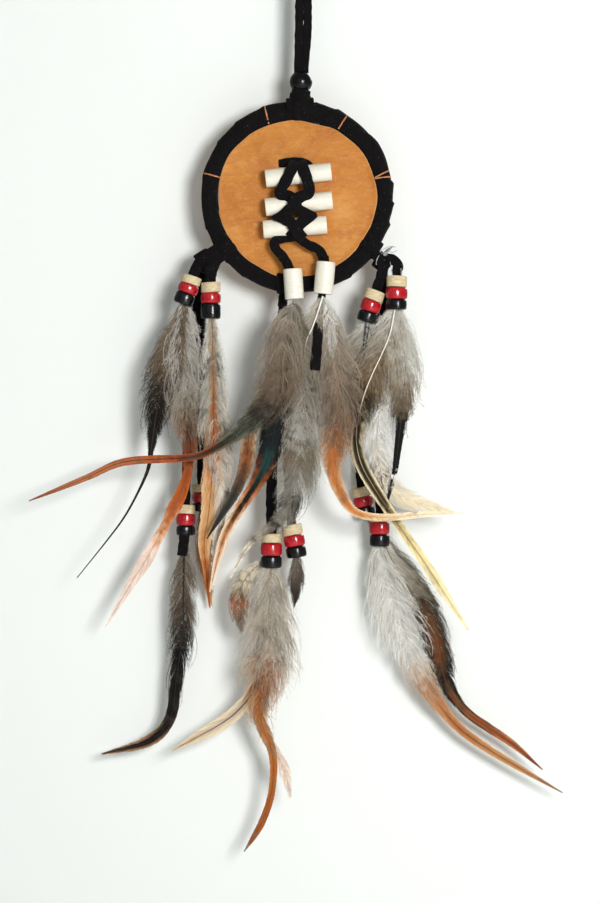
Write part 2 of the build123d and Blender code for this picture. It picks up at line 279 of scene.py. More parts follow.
def thread_material(name, deep, light, rough=0.5):
    m = Nodes(name, Specular_IOR_Level=0.4)
    twist = m.noise(2600, 2, 0.5, stretch=(1, 0.3, 0.5), turn=(0.6, 0.8, 0))
    m.color(m.mix(m.grey(twist, 0, 1), deep, light))
    m.roughness(m.grey(twist, rough, rough + 0.25))
    m.bump((twist, 0.6, 0.12))
    return m.material


def wire_material():
    m = Nodes("ring_wire", Metallic=0.9)
    scale = m.noise(600, 3, 0.6)
    m.color(m.mix(m.grey(scale, 0, 1), linear(150, 140, 120), linear(190, 180, 160)))
    m.roughness(m.grey(scale, 0.3, 0.5))
    return m.material


MATERIALS = {
    "suede": suede_material(),
    "tan_leather": leather_material(),
    "bone": bone_material(),
    "wood_bead": wood_material(),
    "red_bead": glass_material("red_bead", linear(150, 8, 20), linear(194, 24, 36)),
    "black_bead": glass_material("black_bead", linear(2, 3, 5), linear(8, 10, 13), (0.14, 0.3), 0.32, 0.15),
    "loop_bead": glass_material("loop_bead", linear(1, 1, 2), linear(5, 5, 7), (0.16, 0.26), 0.28, 0.15),
    "thread": thread_material("thread", linear(150, 84, 44), linear(222, 158, 108)),
    "sinew": thread_material("sinew", linear(120, 128, 128), linear(206, 212, 210)),
    "ring_wire": wire_material(),
}


# ---------------------------------------------------------------- mesh helpers


def piece(name, points, faces, body, material, nodes=(), slot=None, marks=None):
    """A mesh object in place from points in millimetres, riding a body and standing for its CAD nodes."""
    mesh = bpy.data.meshes.new(name)
    mesh.from_pydata((np.asarray(points, float) * MM).tolist(), [], [list(map(int, f)) for f in faces])
    mesh.validate()
    for key, values in (marks or {}).items():
        mesh.attributes.new(key, "FLOAT", "POINT").data.foreach_set("value", np.asarray(values, np.float32))
    mesh.polygons.foreach_set("use_smooth", [True] * len(mesh.polygons))
    found = bpy.data.objects.new(name, mesh)
    bpy.context.collection.objects.link(found)
    mesh.materials.append(MATERIALS[material])
    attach(found, body)
    if nodes:
        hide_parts(*nodes)
    return found


def wobble(seed, period, reach=1.0):
    """Smooth repeatable noise of one number, from about -reach to reach."""
    rng = np.random.default_rng(seed)
    waves = [(rng.uniform(0.6, 2.6) * 2 * pi / period, rng.uniform(0, 2 * pi)) for _ in range(5)]
    return lambda s: reach * sum(np.sin(np.asarray(s) * rate + phase) for rate, phase in waves) / 2.5


def sampled(route, steps=14):
    """Points along the smooth spline that a route steers, in millimetres."""
    data = bpy.data.curves.new("route", "CURVE")
    data.dimensions = "3D"
    spline = data.splines.new("NURBS")
    spline.points.add(len(route) - 1)
    for point, place in zip(spline.points, route):
        point.co = (*(v * MM for v in place), 1)
    spline.order_u = 3
    spline.use_endpoint_u = True
    spline.resolution_u = steps
    holder = bpy.data.objects.new("route", data)
    bpy.context.collection.objects.link(holder)
    mesh = bpy.data.meshes.new_from_object(holder)
    points = np.array([v.co for v in mesh.vertices], float) / MM
    bpy.data.objects.remove(holder)
    bpy.data.curves.remove(data)
    bpy.data.meshes.remove(mesh)
    return points


def even(points, gap):
    """The same line with points an even gap apart."""
    points = np.asarray(points, float)
    arc = np.r_[0, np.cumsum(np.linalg.norm(np.diff(points, axis=0), axis=1))]
    keep = np.r_[True, np.diff(arc) > 1e-6]
    points, arc = points[keep], arc[keep]
    count = max(3, int(round(arc[-1] / gap)) + 1)
    at = np.linspace(0, arc[-1], count)
    return np.c_[[np.interp(at, arc, points[:, k]) for k in range(3)]].T, at


def unit(v):
    v = np.asarray(v, float)
    return v / np.maximum(np.linalg.norm(v, axis=-1, keepdims=True), 1e-9)


def tube_faces(rings, around, closed=True):
    """Quads between rings of points; a closed tube runs back to its first ring, an open one has two caps."""
    faces = []
    for i in range(rings if closed else rings - 1):
        here, after = i * around, (i + 1) % rings * around
        for k in range(around):
            n = (k + 1) % around
            faces.append((here + k, here + n, after + n, after + k))
    if not closed:
        faces += [tuple(reversed(range(around))), tuple((rings - 1) * around + k for k in range(around))]
    return faces


FLAT_SECTION = [
    (-1, -0.35), (-0.9, -0.85), (-0.55, -1), (0, -1.02), (0.55, -1), (0.9, -0.85), (1, -0.35), (1, 0.35),
    (0.9, 0.85), (0.55, 1), (0, 1.02), (-0.55, 1), (-0.9, 0.85), (-1, 0.35),
]
ROUND_SECTION = [(cos(a), sin(a)) for a in np.arange(12) * pi / 6]


def strip(line, width, thick, seed, face=(0, -1, 0), turn=None, section=FLAT_SECTION, closed=False,
          gap=0.55, ragged=0.05, taper=None):
    """Points and faces of a band along a line.

    face: what its flat side looks at. turn and taper: rows of (share of its length, degrees or factor)."""
    centre, arc = even(line, gap)
    if closed:
        centre, arc = centre[:-1], arc[:-1]
        forward = unit(np.roll(centre, -1, 0) - np.roll(centre, 1, 0))
    else:
        forward = unit(np.gradient(centre, axis=0))
    look = np.asarray(face(centre) if callable(face) else np.broadcast_to(face, centre.shape), float)
    side = unit(np.cross(forward, look))
    out = unit(np.cross(side, forward))
    if turn is not None:
        angle = np.radians(np.interp(arc / arc[-1], *np.array(turn).T))[:, None]
        side, out = side * np.cos(angle) + out * np.sin(angle), out * np.cos(angle) - side * np.sin(angle)
    rim = [wobble(seed + k, 9.0, ragged) for k in range(3)]
    narrow = 1 if taper is None else np.interp(arc / arc[-1], *np.array(taper).T)
    half = width / 2 * (1 + rim[0](arc)) * narrow
    deep = thick / 2 * (1 + rim[1](arc))
    drift = side * (width * 0.3 * rim[2](arc))[:, None]
    middle = centre + drift
    rings = np.stack([middle + side * (half * a)[:, None] + out * (deep * b)[:, None] for a, b in section], 1)
    return rings.reshape(-1, 3), tube_faces(len(centre), len(section), closed)


def joined(parts):
    """One list of points and faces from several."""
    points, faces, start = [], [], 0
    for p, f in parts:
        points.append(np.asarray(p))
        faces += [tuple(i + start for i in face) for face in f]
        start += len(p)
    return np.concatenate(points), faces


def lathe(profile, origin, axis, seed, segments=40, rough=0.015, tilt=0.0):
    """A turned shape, slightly out of true, from a closed profile of (distance down the axis, radius)."""
    axis = unit(axis)
    across = unit(np.cross(axis, (0.0, 1.0, 0.0) if abs(axis[1]) < 0.9 else (1.0, 0.0, 0.0)))
    other = np.cross(axis, across)
    angle = np.arange(segments) * 2 * pi / segments
    ring = np.cos(angle)[:, None] * across + np.sin(angle)[:, None] * other
    bulge = wobble(seed, 2 * pi, rough)
    out = 1 + bulge(np.cos(angle) * 2 + seed % 7) + 0.5 * bulge(np.sin(angle) * 3)
    slope = tilt * np.cos(angle + seed)[:, None]
    points = [np.asarray(origin) + axis * (d + slope * r) + ring * (r * out)[:, None] for d, r in profile]
    return np.concatenate(points), tube_faces(len(profile), segments)


def rounded_tube(length, radius, bore, corner, crown=0.0, rows=6):
    """Profile of a drilled bead or pipe with rounded lips."""
    profile = [(0.0, bore + corner * 0.4)]
    shoulder = radius - corner
    profile += [(corner * (1 - cos(a)), shoulder + corner * sin(a)) for a in np.linspace(0, pi / 2, 5)]
    side = length - 2 * corner
    profile += [(corner + side * k / rows, radius + crown * sin(pi * k / rows)) for k in range(1, rows)]
    turn = np.linspace(pi / 2, 0, 5)
    profile += [(length - corner * (1 - cos(a)), shoulder + corner * sin(a)) for a in turn]
    profile += [(length, bore + corner * 0.4), (length - corner * 0.4, bore), (corner * 0.4, bore)]
    return profile


# ---------------------------------------------------------------- hanging loop, its bead and its neck

LOOP_ROUTE = [
    (-1.2, -73.6), (-1.15, -63), (-0.8, -50), (-0.5, -30), (-3, -10), (-3, 1.2), (3, 1.2), (3, -10),
    (2.7, -30), (2.9, -50), (1.3, -63), (1.2, -73.6),
]
loop_line = sampled([(x, 0, z) for x, z in LOOP_ROUTE])
loop_turn = [(0, 12), (0.2, -8), (0.45, 0), (0.55, 0), (0.8, 10), (1, -12)]
loop_band = strip(loop_line, 3.5, 1.6, 3, turn=loop_turn)
loop = piece("hanging_loop_lace", *loop_band, "hanger", "suede", ["hanging_loop"])

BEAD_RADIUS = 4.7
BEAD_BORE = 2.25
bead_arc = np.linspace(radians(30), radians(150), 22)
bead_profile = [(BEAD_RADIUS * (1 - cos(a)), BEAD_RADIUS * sin(a)) for a in bead_arc]
bead_profile += [(8.2, BEAD_BORE), (1.2, BEAD_BORE)]
bead = lathe(bead_profile, (0, 0, -65.0), (0, 0, -1), 5, 48, 0.004)
piece("loop_bead_glass", *bead, "loop_bead", "loop_bead", ["loop_bead"])


def wound(centre, along, offsets, radius, width, seed, slant, squash=1.0):
    """Turns of lace round an axis: each offset is one turn, whose radius is given alone or for all."""
    centre, along = np.asarray(centre, float), unit(along)
    first = unit(np.cross(along, (0.0, 1.0, 0.0)))
    second = np.cross(along, first)
    rng = np.random.default_rng(seed)
    angle = np.linspace(0, 2 * pi, 61)
    turns = []

    def outward(points):
        away = points - centre
        return unit(away - (away @ along)[:, None] * along)

    for index, offset in enumerate(offsets):
        bump = wobble(seed + index * 7, 2 * pi, 0.05)
        lean = radians(slant * rng.uniform(-1, 1))
        size = radius[index] if np.ndim(radius) else radius
        r = size * (1 + bump(np.cos(angle) * 2) + 0.5 * bump(np.sin(angle) * 3))
        drift = np.sin(angle + rng.uniform(0, 6)) * r * np.tan(lean)
        line = centre + along * offset + first * (squash * r * np.cos(angle))[:, None]
        line = line + second * (r * np.sin(angle))[:, None] + along * drift[:, None]
        turns.append(strip(line, width, 1.3, seed + index, face=outward, closed=True, gap=0.6))
    return turns


neck = wound((0, 0, -74.6), (0.15, 0, 1), (0.2, -1.5), (2.9, 3.3), 2.5, 11, 10, 1.15)
neck.append(strip([(-3.4, 0.2, -74.4), (0, -1.6, -75.2), (3.4, 0.1, -76.0)], 2.4, 1.4, 12))
neck.append(strip([(3.2, 1.0, -74.6), (0, 1.8, -75.4), (-3.2, 0.8, -75.8)], 2.4, 1.4, 13))
piece("loop_neck_knot", *joined(neck), "neck", "suede", ["loop_neck"])


# ---------------------------------------------------------------- hoop

HOOP = np.array((-1.7, 0.0, -117.7))
RING_RADIUS = 36.5


def rim_frame(angle):
    """Centre of the hoop's section at an angle, its outward direction and its run along the rim."""
    out = np.array((cos(radians(angle)), 0, sin(radians(angle))))
    return HOOP + out * RING_RADIUS, out, np.cross(out, (0.0, 1.0, 0.0))


def hoop_wrap():
    """The ring's spiral wrap: overlapping turns of lace, fuller at the top and on the right."""
    turns, around, across = 19, 760, 36
    theta = np.arange(around) * 2 * pi / around
    phi = np.arange(across) * 2 * pi / across
    rng = np.random.default_rng(4)
    lift = rng.uniform(0.75, 1.25, turns + 2)
    skew = rng.uniform(-0.12, 0.12, turns + 2)
    t, p = np.meshgrid(theta, phi, indexing="ij")
    band = turns * t / (2 * pi) + 0.35 * np.sin(3 * t + 1) + 0.25 * np.sin(5 * t) + (p / (2 * pi))
    number = np.floor(band).astype(int) % turns
    share = band - np.floor(band)
    high = lift[number] * (1 + 0.9 * np.clip(np.cos(t - 0.1), 0, 1) ** 2)
    step = np.where(share < 0.94, 0.42 * share / 0.94, 0.42 * (1 - share) / 0.06) * high
    chord = RING_RADIUS * (cos(pi / turns) / np.cos((share - 0.5) * 2 * pi / turns) - 1)
    creases = 0.06 * np.sin(9 * share + 7 * np.sin(p * 2 + number)) * np.sin(pi * share)
    r = 3.28 + step + creases + 0.1 * skew[number] * np.cos(p)
    r = r + 1.7 * np.clip(np.sin(t), 0, 1) ** 3 * np.clip(-np.cos(p), 0, 1)
    outward = RING_RADIUS + r * np.cos(p) + (0.62 * chord + 0.25) * (0.5 + 0.5 * np.cos(p))
    x, y, z = HOOP[0] + outward * np.cos(t), r * np.sin(p) * 1.02, HOOP[2] + outward * np.sin(t)
    points = np.stack([x, y, z], -1).reshape(-1, 3)
    piece("hoop_suede_wrap", points, tube_faces(around, across), "shield", "suede", ["hoop_wrap"])


hoop_wrap()

rim_knot = wound((-0.2, 0, -81.2), (1, 0, 0.02), (-4.0, -1.4, 1.4, 4.0), (4.15, 4.85, 4.9, 4.2), 3.3, 21, 7)
over_front = [
    (-4.6, -1.5, -79.6), (-2.8, -3.4, -77.9), (0.2, -4.4, -77.2), (3, -3.2, -78), (4.5, -1.6, -80),
]
over_back = [(-3.8, 3.0, -78.6), (0, 4.2, -77.4), (3.8, 3.0, -78.8)]
pointed = [(0, 0.5), (0.3, 1), (0.7, 1), (1, 0.5)]
rim_knot.append(strip(sampled(over_front), 2.8, 1.5, 24, face=(0, -1, 0.5), taper=pointed))
rim_knot.append(strip(sampled(over_back), 2.8, 1.5, 25, face=(0, 1, 0.5), taper=pointed))
piece("hanger_rim_knot", *joined(rim_knot), "shield", "suede", ["hanger_knot"])

loops = []
for index, angle in enumerate((215.7, 327.3, 262.1)):
    centre, out, run = rim_frame(angle)
    size = (4.2, 4.35) if index < 2 else (4.0, 4.05)
    loops += wound(centre, run, (-1.75, 1.75), size, 3.3, 31 + index * 5, 9)
piece("rim_lace_loops", *joined(loops), "shield", "suede", ["rim_loops"])


# ---------------------------------------------------------------- leather shield


def shield():
    """The leather disc: a hand-cut edge that curls forward a little, and a shallow warp."""
    segments, rows = 240, 46
    angle = np.arange(segments) * 2 * pi / segments
    cut = 32.95 + 0.28 * np.sin(3 * angle + 0.8) + 0.16 * np.sin(7 * angle + 2) + 0.12 * np.sin(13 * angle)
    facets = 0.26 * np.abs(np.sin(11 * angle / 2 + 0.4)) + 0.1 * np.abs(np.sin(17 * angle / 2))
    cut = cut - facets + 0.12 - 1.0 * np.clip(np.sin(angle), 0, 1) ** 3
    warp = [wobble(k, 60.0, 0.16) for k in (41, 42, 43)]
    points, edge = [], []

    def row(share, y, mark):
        x = share * cut * np.cos(angle)
        z = share * cut * np.sin(angle)
        relief = warp[0](x + 0.3 * z) + warp[1](z - 0.4 * x) + 0.5 * warp[2](1.7 * x + z)
        curl = -0.55 * np.clip((share - 0.93) / 0.07, 0, 1) ** 2
        points.append(np.c_[HOOP[0] + x, y + relief * (1 - share**4) * 0.6 + curl, HOOP[2] - 0.45 + z])
        edge.append(np.full(segments, mark))

    for k in range(rows + 1):
        share = (k / rows) ** 0.8 if k else 0.004
        row(share, -2.6, max(0.0, (share - 0.95) / 0.05) * 0.6)
    row(1.006, -2.45, 1.0)
    row(1.006, -1.95, 1.0)
    for share in (0.998, 0.93, 0.8, 0.6, 0.35, 0.004):
        row(share, -1.5, 0.5)
    mesh = np.concatenate(points), tube_faces(len(points), segments, closed=False)
    marks = {"edge": np.concatenate(edge)}
    return piece("shield_leather_disc", *mesh, "shield", "tan_leather", ["shield_leather"], marks=marks)


disc = shield()


# ---------------------------------------------------------------- bone pipes and drops

BEAD_SIDES = 44


def bone(name, origin, axis, length, radius, bore, seed, body, node):
    """A drilled piece of bone, marked where its cut ends and its bore are, for the painted shade in the bore.
    """
    profile = rounded_tube(length, radius, bore, 0.35, crown=0.06, rows=10)
    points, faces = lathe(profile, origin, axis, seed, BEAD_SIDES, 0.012)
    # edge: 1 inside the bore, 0.65 on the lips and 0 on the side; it drives the painted shade in the bore and
    # the slight darkening of the lips
    edge = [1.0 if r < radius - 0.5 else 0.65 if r < radius - 0.05 else 0.0 for d, r in profile]
    edge = np.repeat(edge, BEAD_SIDES)
    return piece(name, points, faces, body, "bone", [node], marks={"edge": edge})


# pipes: middle (x, z), length and rise in degrees; drops: middle of the top, lean in degrees and length
PIPE_Y, PIPE_RADIUS, PIPE_BORE = -6.4, 3.75, 1.6
PIPES = {
    "upper": ((-1.1, -109.2), 27.5, 6.3),
    "middle": ((-0.9, -121.1), 28.0, 6.2),
    "lower": ((-2.5, -130.8), 26.5, 4.3),
}
DROP_Y, DROP_RADIUS, DROP_BORE = -9.2, 3.95, 2.1
DROPS = {"left": ((-3.5, -148.3), 3.8, 12.6), "right": ((10.4, -145.4), -5.2, 13.4)}

for name, (middle, length, rise) in PIPES.items():
    run = np.array((cos(radians(rise)), 0, sin(radians(rise))))
    start = np.array((middle[0], PIPE_Y, middle[1])) - run * length / 2
    size = (length, PIPE_RADIUS, PIPE_BORE)
    bone(f"pipe_{name}", start, run, *size, len(name) * 13, "shield", f"bone_pipe_{name}")

for side, (top, lean, length) in DROPS.items():
    run = (sin(radians(lean)), 0, -cos(radians(lean)))
    name, origin, seed = f"drop_{side}", (top[0], DROP_Y, top[1]), len(side) * 17
    bone(f"{name}_bone", origin, run, length, DROP_RADIUS, DROP_BORE, seed, name, f"bone_drop_{side}")


# ---------------------------------------------------------------- breastplate lace and the sling of the drops

# the back leg lies on the pipes at FRONT, and the over leg crosses it at OVER
FRONT = -10.8
OVER = FRONT - 0.9
TOP_SLIT = [
    (-9, -2, -104), (-8.2, -3.9, -104), (-4, -4.6, -103.4), (0.6, -4.6, -103.5), (3.6, -3.8, -104.5),
    (4.8, -2, -105.6),
]
BACK_LEG = [
    (-2.4, -4.4, -103.4), (-3.3, FRONT, -106), (-6.4, FRONT, -112.4), (-9.6, -9.4, -117.6),
    (-5.2, -9.8, -117.9), (-2.9, FRONT, -119.6), (-2.4, FRONT, -121.6), (-1.4, FRONT, -123.8),
    (2.4, -10.2, -125.2), (7, -9.4, -125.9), (2.8, -10.2, -127.6), (-0.6, FRONT, -129.8),
    (-2.4, FRONT, -133.2), (-4.8, -8.6, -135.2),
]
OVER_LEG = [
    (-1, -4.2, -103.4), (0.6, FRONT - 0.4, -106), (2.4, FRONT - 0.1, -110.8), (3.9, -9.6, -117),
    (0.6, -10.4, -118.2), (-2.2, OVER, -119.6), (-3.2, OVER, -121.6), (-4.2, OVER, -123.8),
    (-7.4, -10.2, -125.8), (-12.6, -9.4, -127), (-7.6, -10.2, -127.6), (-4, OVER, -128.9),
    (-2.6, OVER, -132.2), (-0.6, FRONT + 0.4, -134.4), (0.8, -8.6, -135.8),
]
back_turn = [(0, 0), (0.15, 6), (0.3, -8), (0.6, 8), (1, 5)]
back_taper = [(0, 0.85), (0.1, 1), (0.6, 1), (0.7, 0.4), (0.8, 1), (1, 1)]
over_turn = [(0, 0), (0.15, -8), (0.5, 8), (1, 0)]
over_taper = [(0, 0.85), (0.1, 1), (0.57, 1), (0.67, 0.35), (0.78, 1), (1, 1)]
breastplate = [
    strip([(-5.6, -9.5, -124.5), (-2.4, -9.7, -124.7), (1.2, -9.5, -124.2)], 1.9, 1.0, 54),
    strip(sampled(TOP_SLIT), 3.5, 1.2, 51, taper=[(0, 0.95), (0.5, 1.08), (0.8, 0.9), (1, 0.55)]),
    strip(sampled(BACK_LEG), 4.7, 1.05, 52, turn=back_turn, taper=back_taper),
    strip(sampled(OVER_LEG), 4.8, 1.05, 53, turn=over_turn, taper=over_taper),
]
piece("breastplate_lacing", *joined(breastplate), "shield", "suede", ["breastplate_lace"])

LEFT_SLING = [
    (-3.6, -7, -134.8), (-6.6, -7.6, -135.5), (-11.2, -7.8, -136), (-10.9, -7.8, -139.6), (-8.6, -8, -142),
    (-5.9, -8.6, -145.2), (-4.2, -9, -149.8),
]
RIGHT_SLING = [
    (-1.8, -7, -134.6), (0.6, -7.4, -136.6), (3.4, -7.6, -138.5), (6.9, -7.8, -139.7), (9, -8.3, -142.2),
    (10.2, -9, -147.8),
]
sling_taper = [(0, 0.9), (0.8, 1), (1, 0.8)]
sling = [
    strip(sampled(LEFT_SLING), 4.1, 1.2, 56, turn=[(0, 0), (0.5, 14), (1, -6)], taper=sling_taper),
    strip(sampled(RIGHT_SLING), 4.1, 1.2, 57, turn=[(0, 0), (0.5, -12), (1, 8)], taper=sling_taper),
    strip([(-6.4, -7.0, -136.0), (-2.2, -7.2, -135.6), (1.8, -7.0, -136.0)], 2.2, 1.6, 58),
]
piece("sling_lacing", *joined(sling), "drop_sling", "suede", ["drop_sling"])


# ---------------------------------------------------------------- knots under the rim

left_knot = wound((-39.2, 2.2, -143.6), (0.86, 0, 0.5), (-2.6, 0.4), (3.6, 3.8), 3.9, 61, 12)
for k, route in enumerate([
    [(-32.6, -2.4, -138.6), (-36, -3.6, -140.6), (-40.6, -2.8, -143.4), (-43.8, -1.4, -148)],
    [(-32, -2.2, -141.6), (-35, -3.6, -143.6), (-37, -3.6, -146.8), (-37.6, -3.5, -150.8)],
]):
    left_knot.append(strip(sampled(route), 5.0, 1.6, 62 + k))
piece("left_knot_turns", *joined(left_knot), "left_knot", "suede", ["left_knot"])

right_knot = wound((34.4, 2.2, -145.2), (0.8, 0, -0.6), (-2.0, 1.0), (3.1, 3.2), 3.5, 66, 12)
right_end = [(30, -2.4, -141.6), (33.4, -3.6, -143.4), (34.8, -3.4, -147.4), (33.4, -3, -152.4)]
right_knot.append(strip(sampled(right_end), 4.4, 1.5, 67))
piece("right_knot_turns", *joined(right_knot), "right_knot", "suede", ["right_knot"])

center_knot = wound((-7.5, 0, -161.0), (0.12, 0, 1), (-1.3, 1.3), 1.35, 2.8, 71, 8)
center_knot.append(strip([(-7.5, -0.4, -162.4), (-7.6, -0.5, -164.4), (-7.6, -0.5, -166)], 3.6, 1.3, 74))
piece("center_knot_turns", *joined(center_knot), "center_knot", "suede", ["center_knot"])


def binding_turn(k):
    """One turn of thread round the right knot."""
    line = [
        (2.035 * cos(a) + 0.5 * k - 1.4, 5.4 * sin(a), 2.88 * cos(a) + 0.36 * k + 0.25 * sin(2 * a + k))
        for a in np.linspace(0, 2 * pi, 40)
    ]
    return np.array((34.6, 1.6, -143.2)) + np.array(line)


THREAD = {"section": ROUND_SECTION, "gap": 0.4}
binding = [strip(binding_turn(k), 0.42, 0.42, 80 + k, ragged=0.1, closed=True, **THREAD) for k in range(7)]
for k, route in enumerate([
    [(32.8, -4, -141), (34.6, -4.6, -139.6), (37, -4.4, -138.6), (39.4, -4, -138.9)],
    [(33.4, -4.2, -141.6), (36.4, -4.8, -140.6), (38.6, -4.6, -141.4), (39.9, -4, -140.2)],
    [(36.8, -4.6, -143.6), (37.4, -5.4, -147), (38, -5.6, -150.6), (38.2, -5.4, -152.4)],
    [(41.4, -4.6, -146.8), (41.8, -5.4, -149), (41.6, -5.6, -151.4)],
    [(32.6, -4.2, -142.4), (31, -4.8, -144.6), (31.4, -4.6, -146.4)],
]):
    binding.append(strip(sampled(route), 0.3, 0.3, 90 + k, ragged=0.15, **THREAD))
piece("right_knot_binding", *joined(binding), "right_knot", "sinew", slot="thread")


# ---------------------------------------------------------------- lace pairs with their beads

# Each tail: layer, lace route from its eye, top of its stack, lean, bead radius, heights of its beads
PAIRS = {
    "left_short": [
        (-2.6, [(-42.6, -146), (-44.2, -148.2)], (-45.1, -151.0), -20, 4.15, (3.6, 4.0, 4.9)),
        (-4.4, [(-38.4, -146.6), (-37.6, -150)], (-37.5, -153.6), 0, 4.15, (4.3, 4.6, 6.4)),
    ],
    "left_long": [
        (6.9, [(-41.5, -145.5), (-44.6, -168), (-47.6, -215)], (-48.4, -246.3), 0, 4.0, (3.8, 5.0, 4.2)),
        (11.8, [(-41.5, -145.5), (-40.6, -168), (-41.8, -210)], (-42.0, -238.0), 0, 3.9, (3.4, 4.2, 3.7)),
    ],
    "right_short": [
        (-2.6, [(34, -147), (33.4, -152)], (31.2, -156.9), -18, 4.2, (4.4, 4.9, 4.6)),
        (-4.4, [(35.6, -143.6), (39.6, -144.2), (40.6, -148)], (39.7, -151.1), 0, 4.4, (4.6, 5.0, 4.4)),
    ],
    "right_long": [
        (6.9, [(34.5, -147), (35.4, -176), (33.6, -220)], (33.0, -250.1), 0, 4.2, (3.4, 5.4, 5.0)),
        (13.4, [(34.5, -147), (29, -176), (25.4, -215)], (25.0, -239.0), 12, 4.0, (4.0, 4.6, 4.4)),
    ],
    "center_long": [
        (-0.8, [(-7.5, -165.4), (-9.6, -190), (-12.2, -230)], (-12.4, -258.4), 0, 4.4, (3.8, 5.4, 5.0)),
        (0.8, [(-7.5, -165.4), (-6.8, -190), (-5.4, -230)], (-4.0, -254.6), 10, 4.3, (4.4, 4.9, 4.6)),
    ],
}
STACK_BORE = 1.85


def down(point, distance, lean):
    """A point (x, z) moved down a line that leans to the right by some degrees."""
    return point[0] + distance * sin(radians(lean)), point[1] - distance * cos(radians(lean))


def tail_lace(route, y, top, lean, heights):
    """Route of a lace from its knot into its stack of beads."""
    flat = [*route, down(top, -3.0, lean), down(top, sum(heights[:2]) - 0.5, lean)]
    return [(x, min(y, 4.8) if k == 0 else y, z) for k, (x, z) in enumerate(flat)]


def short_laces(pair, lines, seed):
    """Both ends of a short pair, from the knot into the beads, as one piece."""
    wide = [(0, 1.3), (0.45, 1.3), (0.7, 1.0), (1, 0.9)]
    strips = [strip(line, 3.3, 1.4, seed + k, taper=wide) for k, line in enumerate(lines)]
    piece(f"{pair}_lace_ends", *joined(strips), pair, "suede", [f"{pair}_laces"])


def long_laces(pair, lines, seed):
    """The two long laces of a pair, each a cord of its own."""
    turn = [(0, 0), (0.3, 18), (0.6, -16), (0.92, 0), (1, 0)]
    taper = [(0, 1), (0.9, 1), (0.95, 0.8), (1, 0.8)]
    for k, line in enumerate(lines):
        width = 4.5 if pair == "center_long" and k == 0 else 3.7
        band = strip(line, width, 1.25, seed + k, turn=turn, taper=taper)
        lace = piece(f"{pair}_lace_{k + 1}", *band, pair, "suede", [f"{pair}_laces"])


# what each kind of bead has: radius less than the tail's, rounding of its lips, crown, raggedness and tilt
BEADS = {
    "wood": (0.05, 0.45, 0.0, 0.03, 0.05),
    "red": (0.0, 0.95, 0.12, 0.018, 0.015),
    "black": (0.1, 0.8, 0.1, 0.018, 0.015),
}


def bead_stack(pair, index, kind, tails, seed):
    """The beads of one kind on both tails of a pair."""
    smaller, corner, crown, ragged, tilt = BEADS[kind]
    beads = []
    for k, (y, route, top, lean, radius, heights) in enumerate(tails):
        x, z = down(top, sum(heights[:index]), lean)
        profile = rounded_tube(heights[index] - 0.06, radius - smaller, STACK_BORE, corner, crown)
        axis = (sin(radians(lean)), 0, -cos(radians(lean)))
        beads.append(lathe(profile, (x, y, z), axis, seed + index * 5 + k, BEAD_SIDES, ragged, tilt))
    piece(f"{pair}_{kind}_stack", *joined(beads), pair, f"{kind}_bead", [f"{pair}_{kind}_beads"])


for pair, tails in PAIRS.items():
    seed = zlib.crc32(pair.encode()) % 900
    routes = [tail_lace(route, y, top, lean, heights) for y, route, top, lean, radius, heights in tails]
    lines = [sampled(route) for route in routes]
    laces = short_laces if pair.endswith("short") else long_laces
    laces(pair, lines, seed)
    for index, kind in enumerate(BEADS):
        bead_stack(pair, index, kind, tails, seed)

drop_line = sampled([
    (9.9, -9.2, -143), (10.4, -9.2, -145.4), (8.6, -9.2, -159.5), (7.4, -10.6, -168), (6.9, -12.5, -178),
    (5.8, -13.6, -190.4),
])
drop_taper = [(0, 0.75), (0.4, 0.75), (0.6, 1), (1, 1)]
drop_band = strip(drop_line, 4.2, 1.25, 97, turn=[(0, 0), (0.6, 12), (1, -10)], taper=drop_taper)
drop_lace = piece("drop_right_lace_tail", *drop_band, "drop_right", "suede", ["drop_right_lace"])

long_tail = sampled([(-48.3, 5.0, -257.0), (-49.0, 2.6, -260.0), (-49.7, 2.2, -267.6)])
piece("left_long_lace_tail", *strip(long_tail, 4.2, 1.2, 99), "left_long", "suede")
left_end = sampled([(-6.6, -9.2, -145.4), (-3.5, -9.2, -148.3), (-3.0, -9.2, -155.0), (-2.8, -9.2, -160.2)])
piece("drop_left_lace_end", *strip(left_end, 3.2, 1.3, 98), "drop_left", "suede", ["drop_left_lace"])


# ---------------------------------------------------------------- feathers


WHITE_QUILL = ((0, 214, 208, 196), (0.4, 196, 184, 164), (0.7, 140, 110, 80), (1, 70, 50, 36))
DARK_QUILL = ((0, 120, 106, 90), (0.3, 64, 54, 42), (1, 28, 24, 22))
TAN_QUILL = ((0, 226, 216, 196), (0.5, 150, 120, 90), (1, 70, 52, 38))
TONE = (0.72, 1.22)
BARB_POINTS = 10
HAIRS = 13
WEB_ROWS = 90
ROD_ROWS = 70
ROD_SIDES = 6


def stops_ramp(m, along, stops):
    """Colour along a feather from rows of (share of its length, red, green, blue)."""
    return m.ramp(along, [(share, linear(*color)) for share, *color in stops])


def feather_material(name, core, edge, mottle, blend):
    """Colours by place along the shaft, then towards the vane's edge, then by barb."""
    sheen = {"Sheen_Weight": 0.05, "Sheen_Roughness": 0.4}
    m = Nodes(f"feather_{name}", Roughness=0.7, Specular_IOR_Level=0.12, **sheen)
    along = m.math("ADD", m.attribute("along"), m.grey(m.noise(300, 2, 0.6), -0.035, 0.035))
    color = stops_ramp(m, along, core)
    if edge:
        color = m.mix(m.grey(m.attribute("across"), 0, 1, *blend), color, stops_ramp(m, along, edge))
    pale = m.grey(m.noise(170, 3, 0.65, bend=0.6), 0, 0.22, 0.5, 0.66)
    color = m.mix(pale, color, linear(222, 218, 208), "SOFT_LIGHT")
    if mottle:
        share, shade, scale = mottle
        spots = m.grey(m.noise(scale, 3, 0.6, bend=0.5), 0, share, 0.52, 0.64)
        color = m.mix(spots, color, linear(*shade))
    m.color(m.scaled(color, m.grey(m.attribute("tone"), *TONE, 0, 1)))
    return m.material


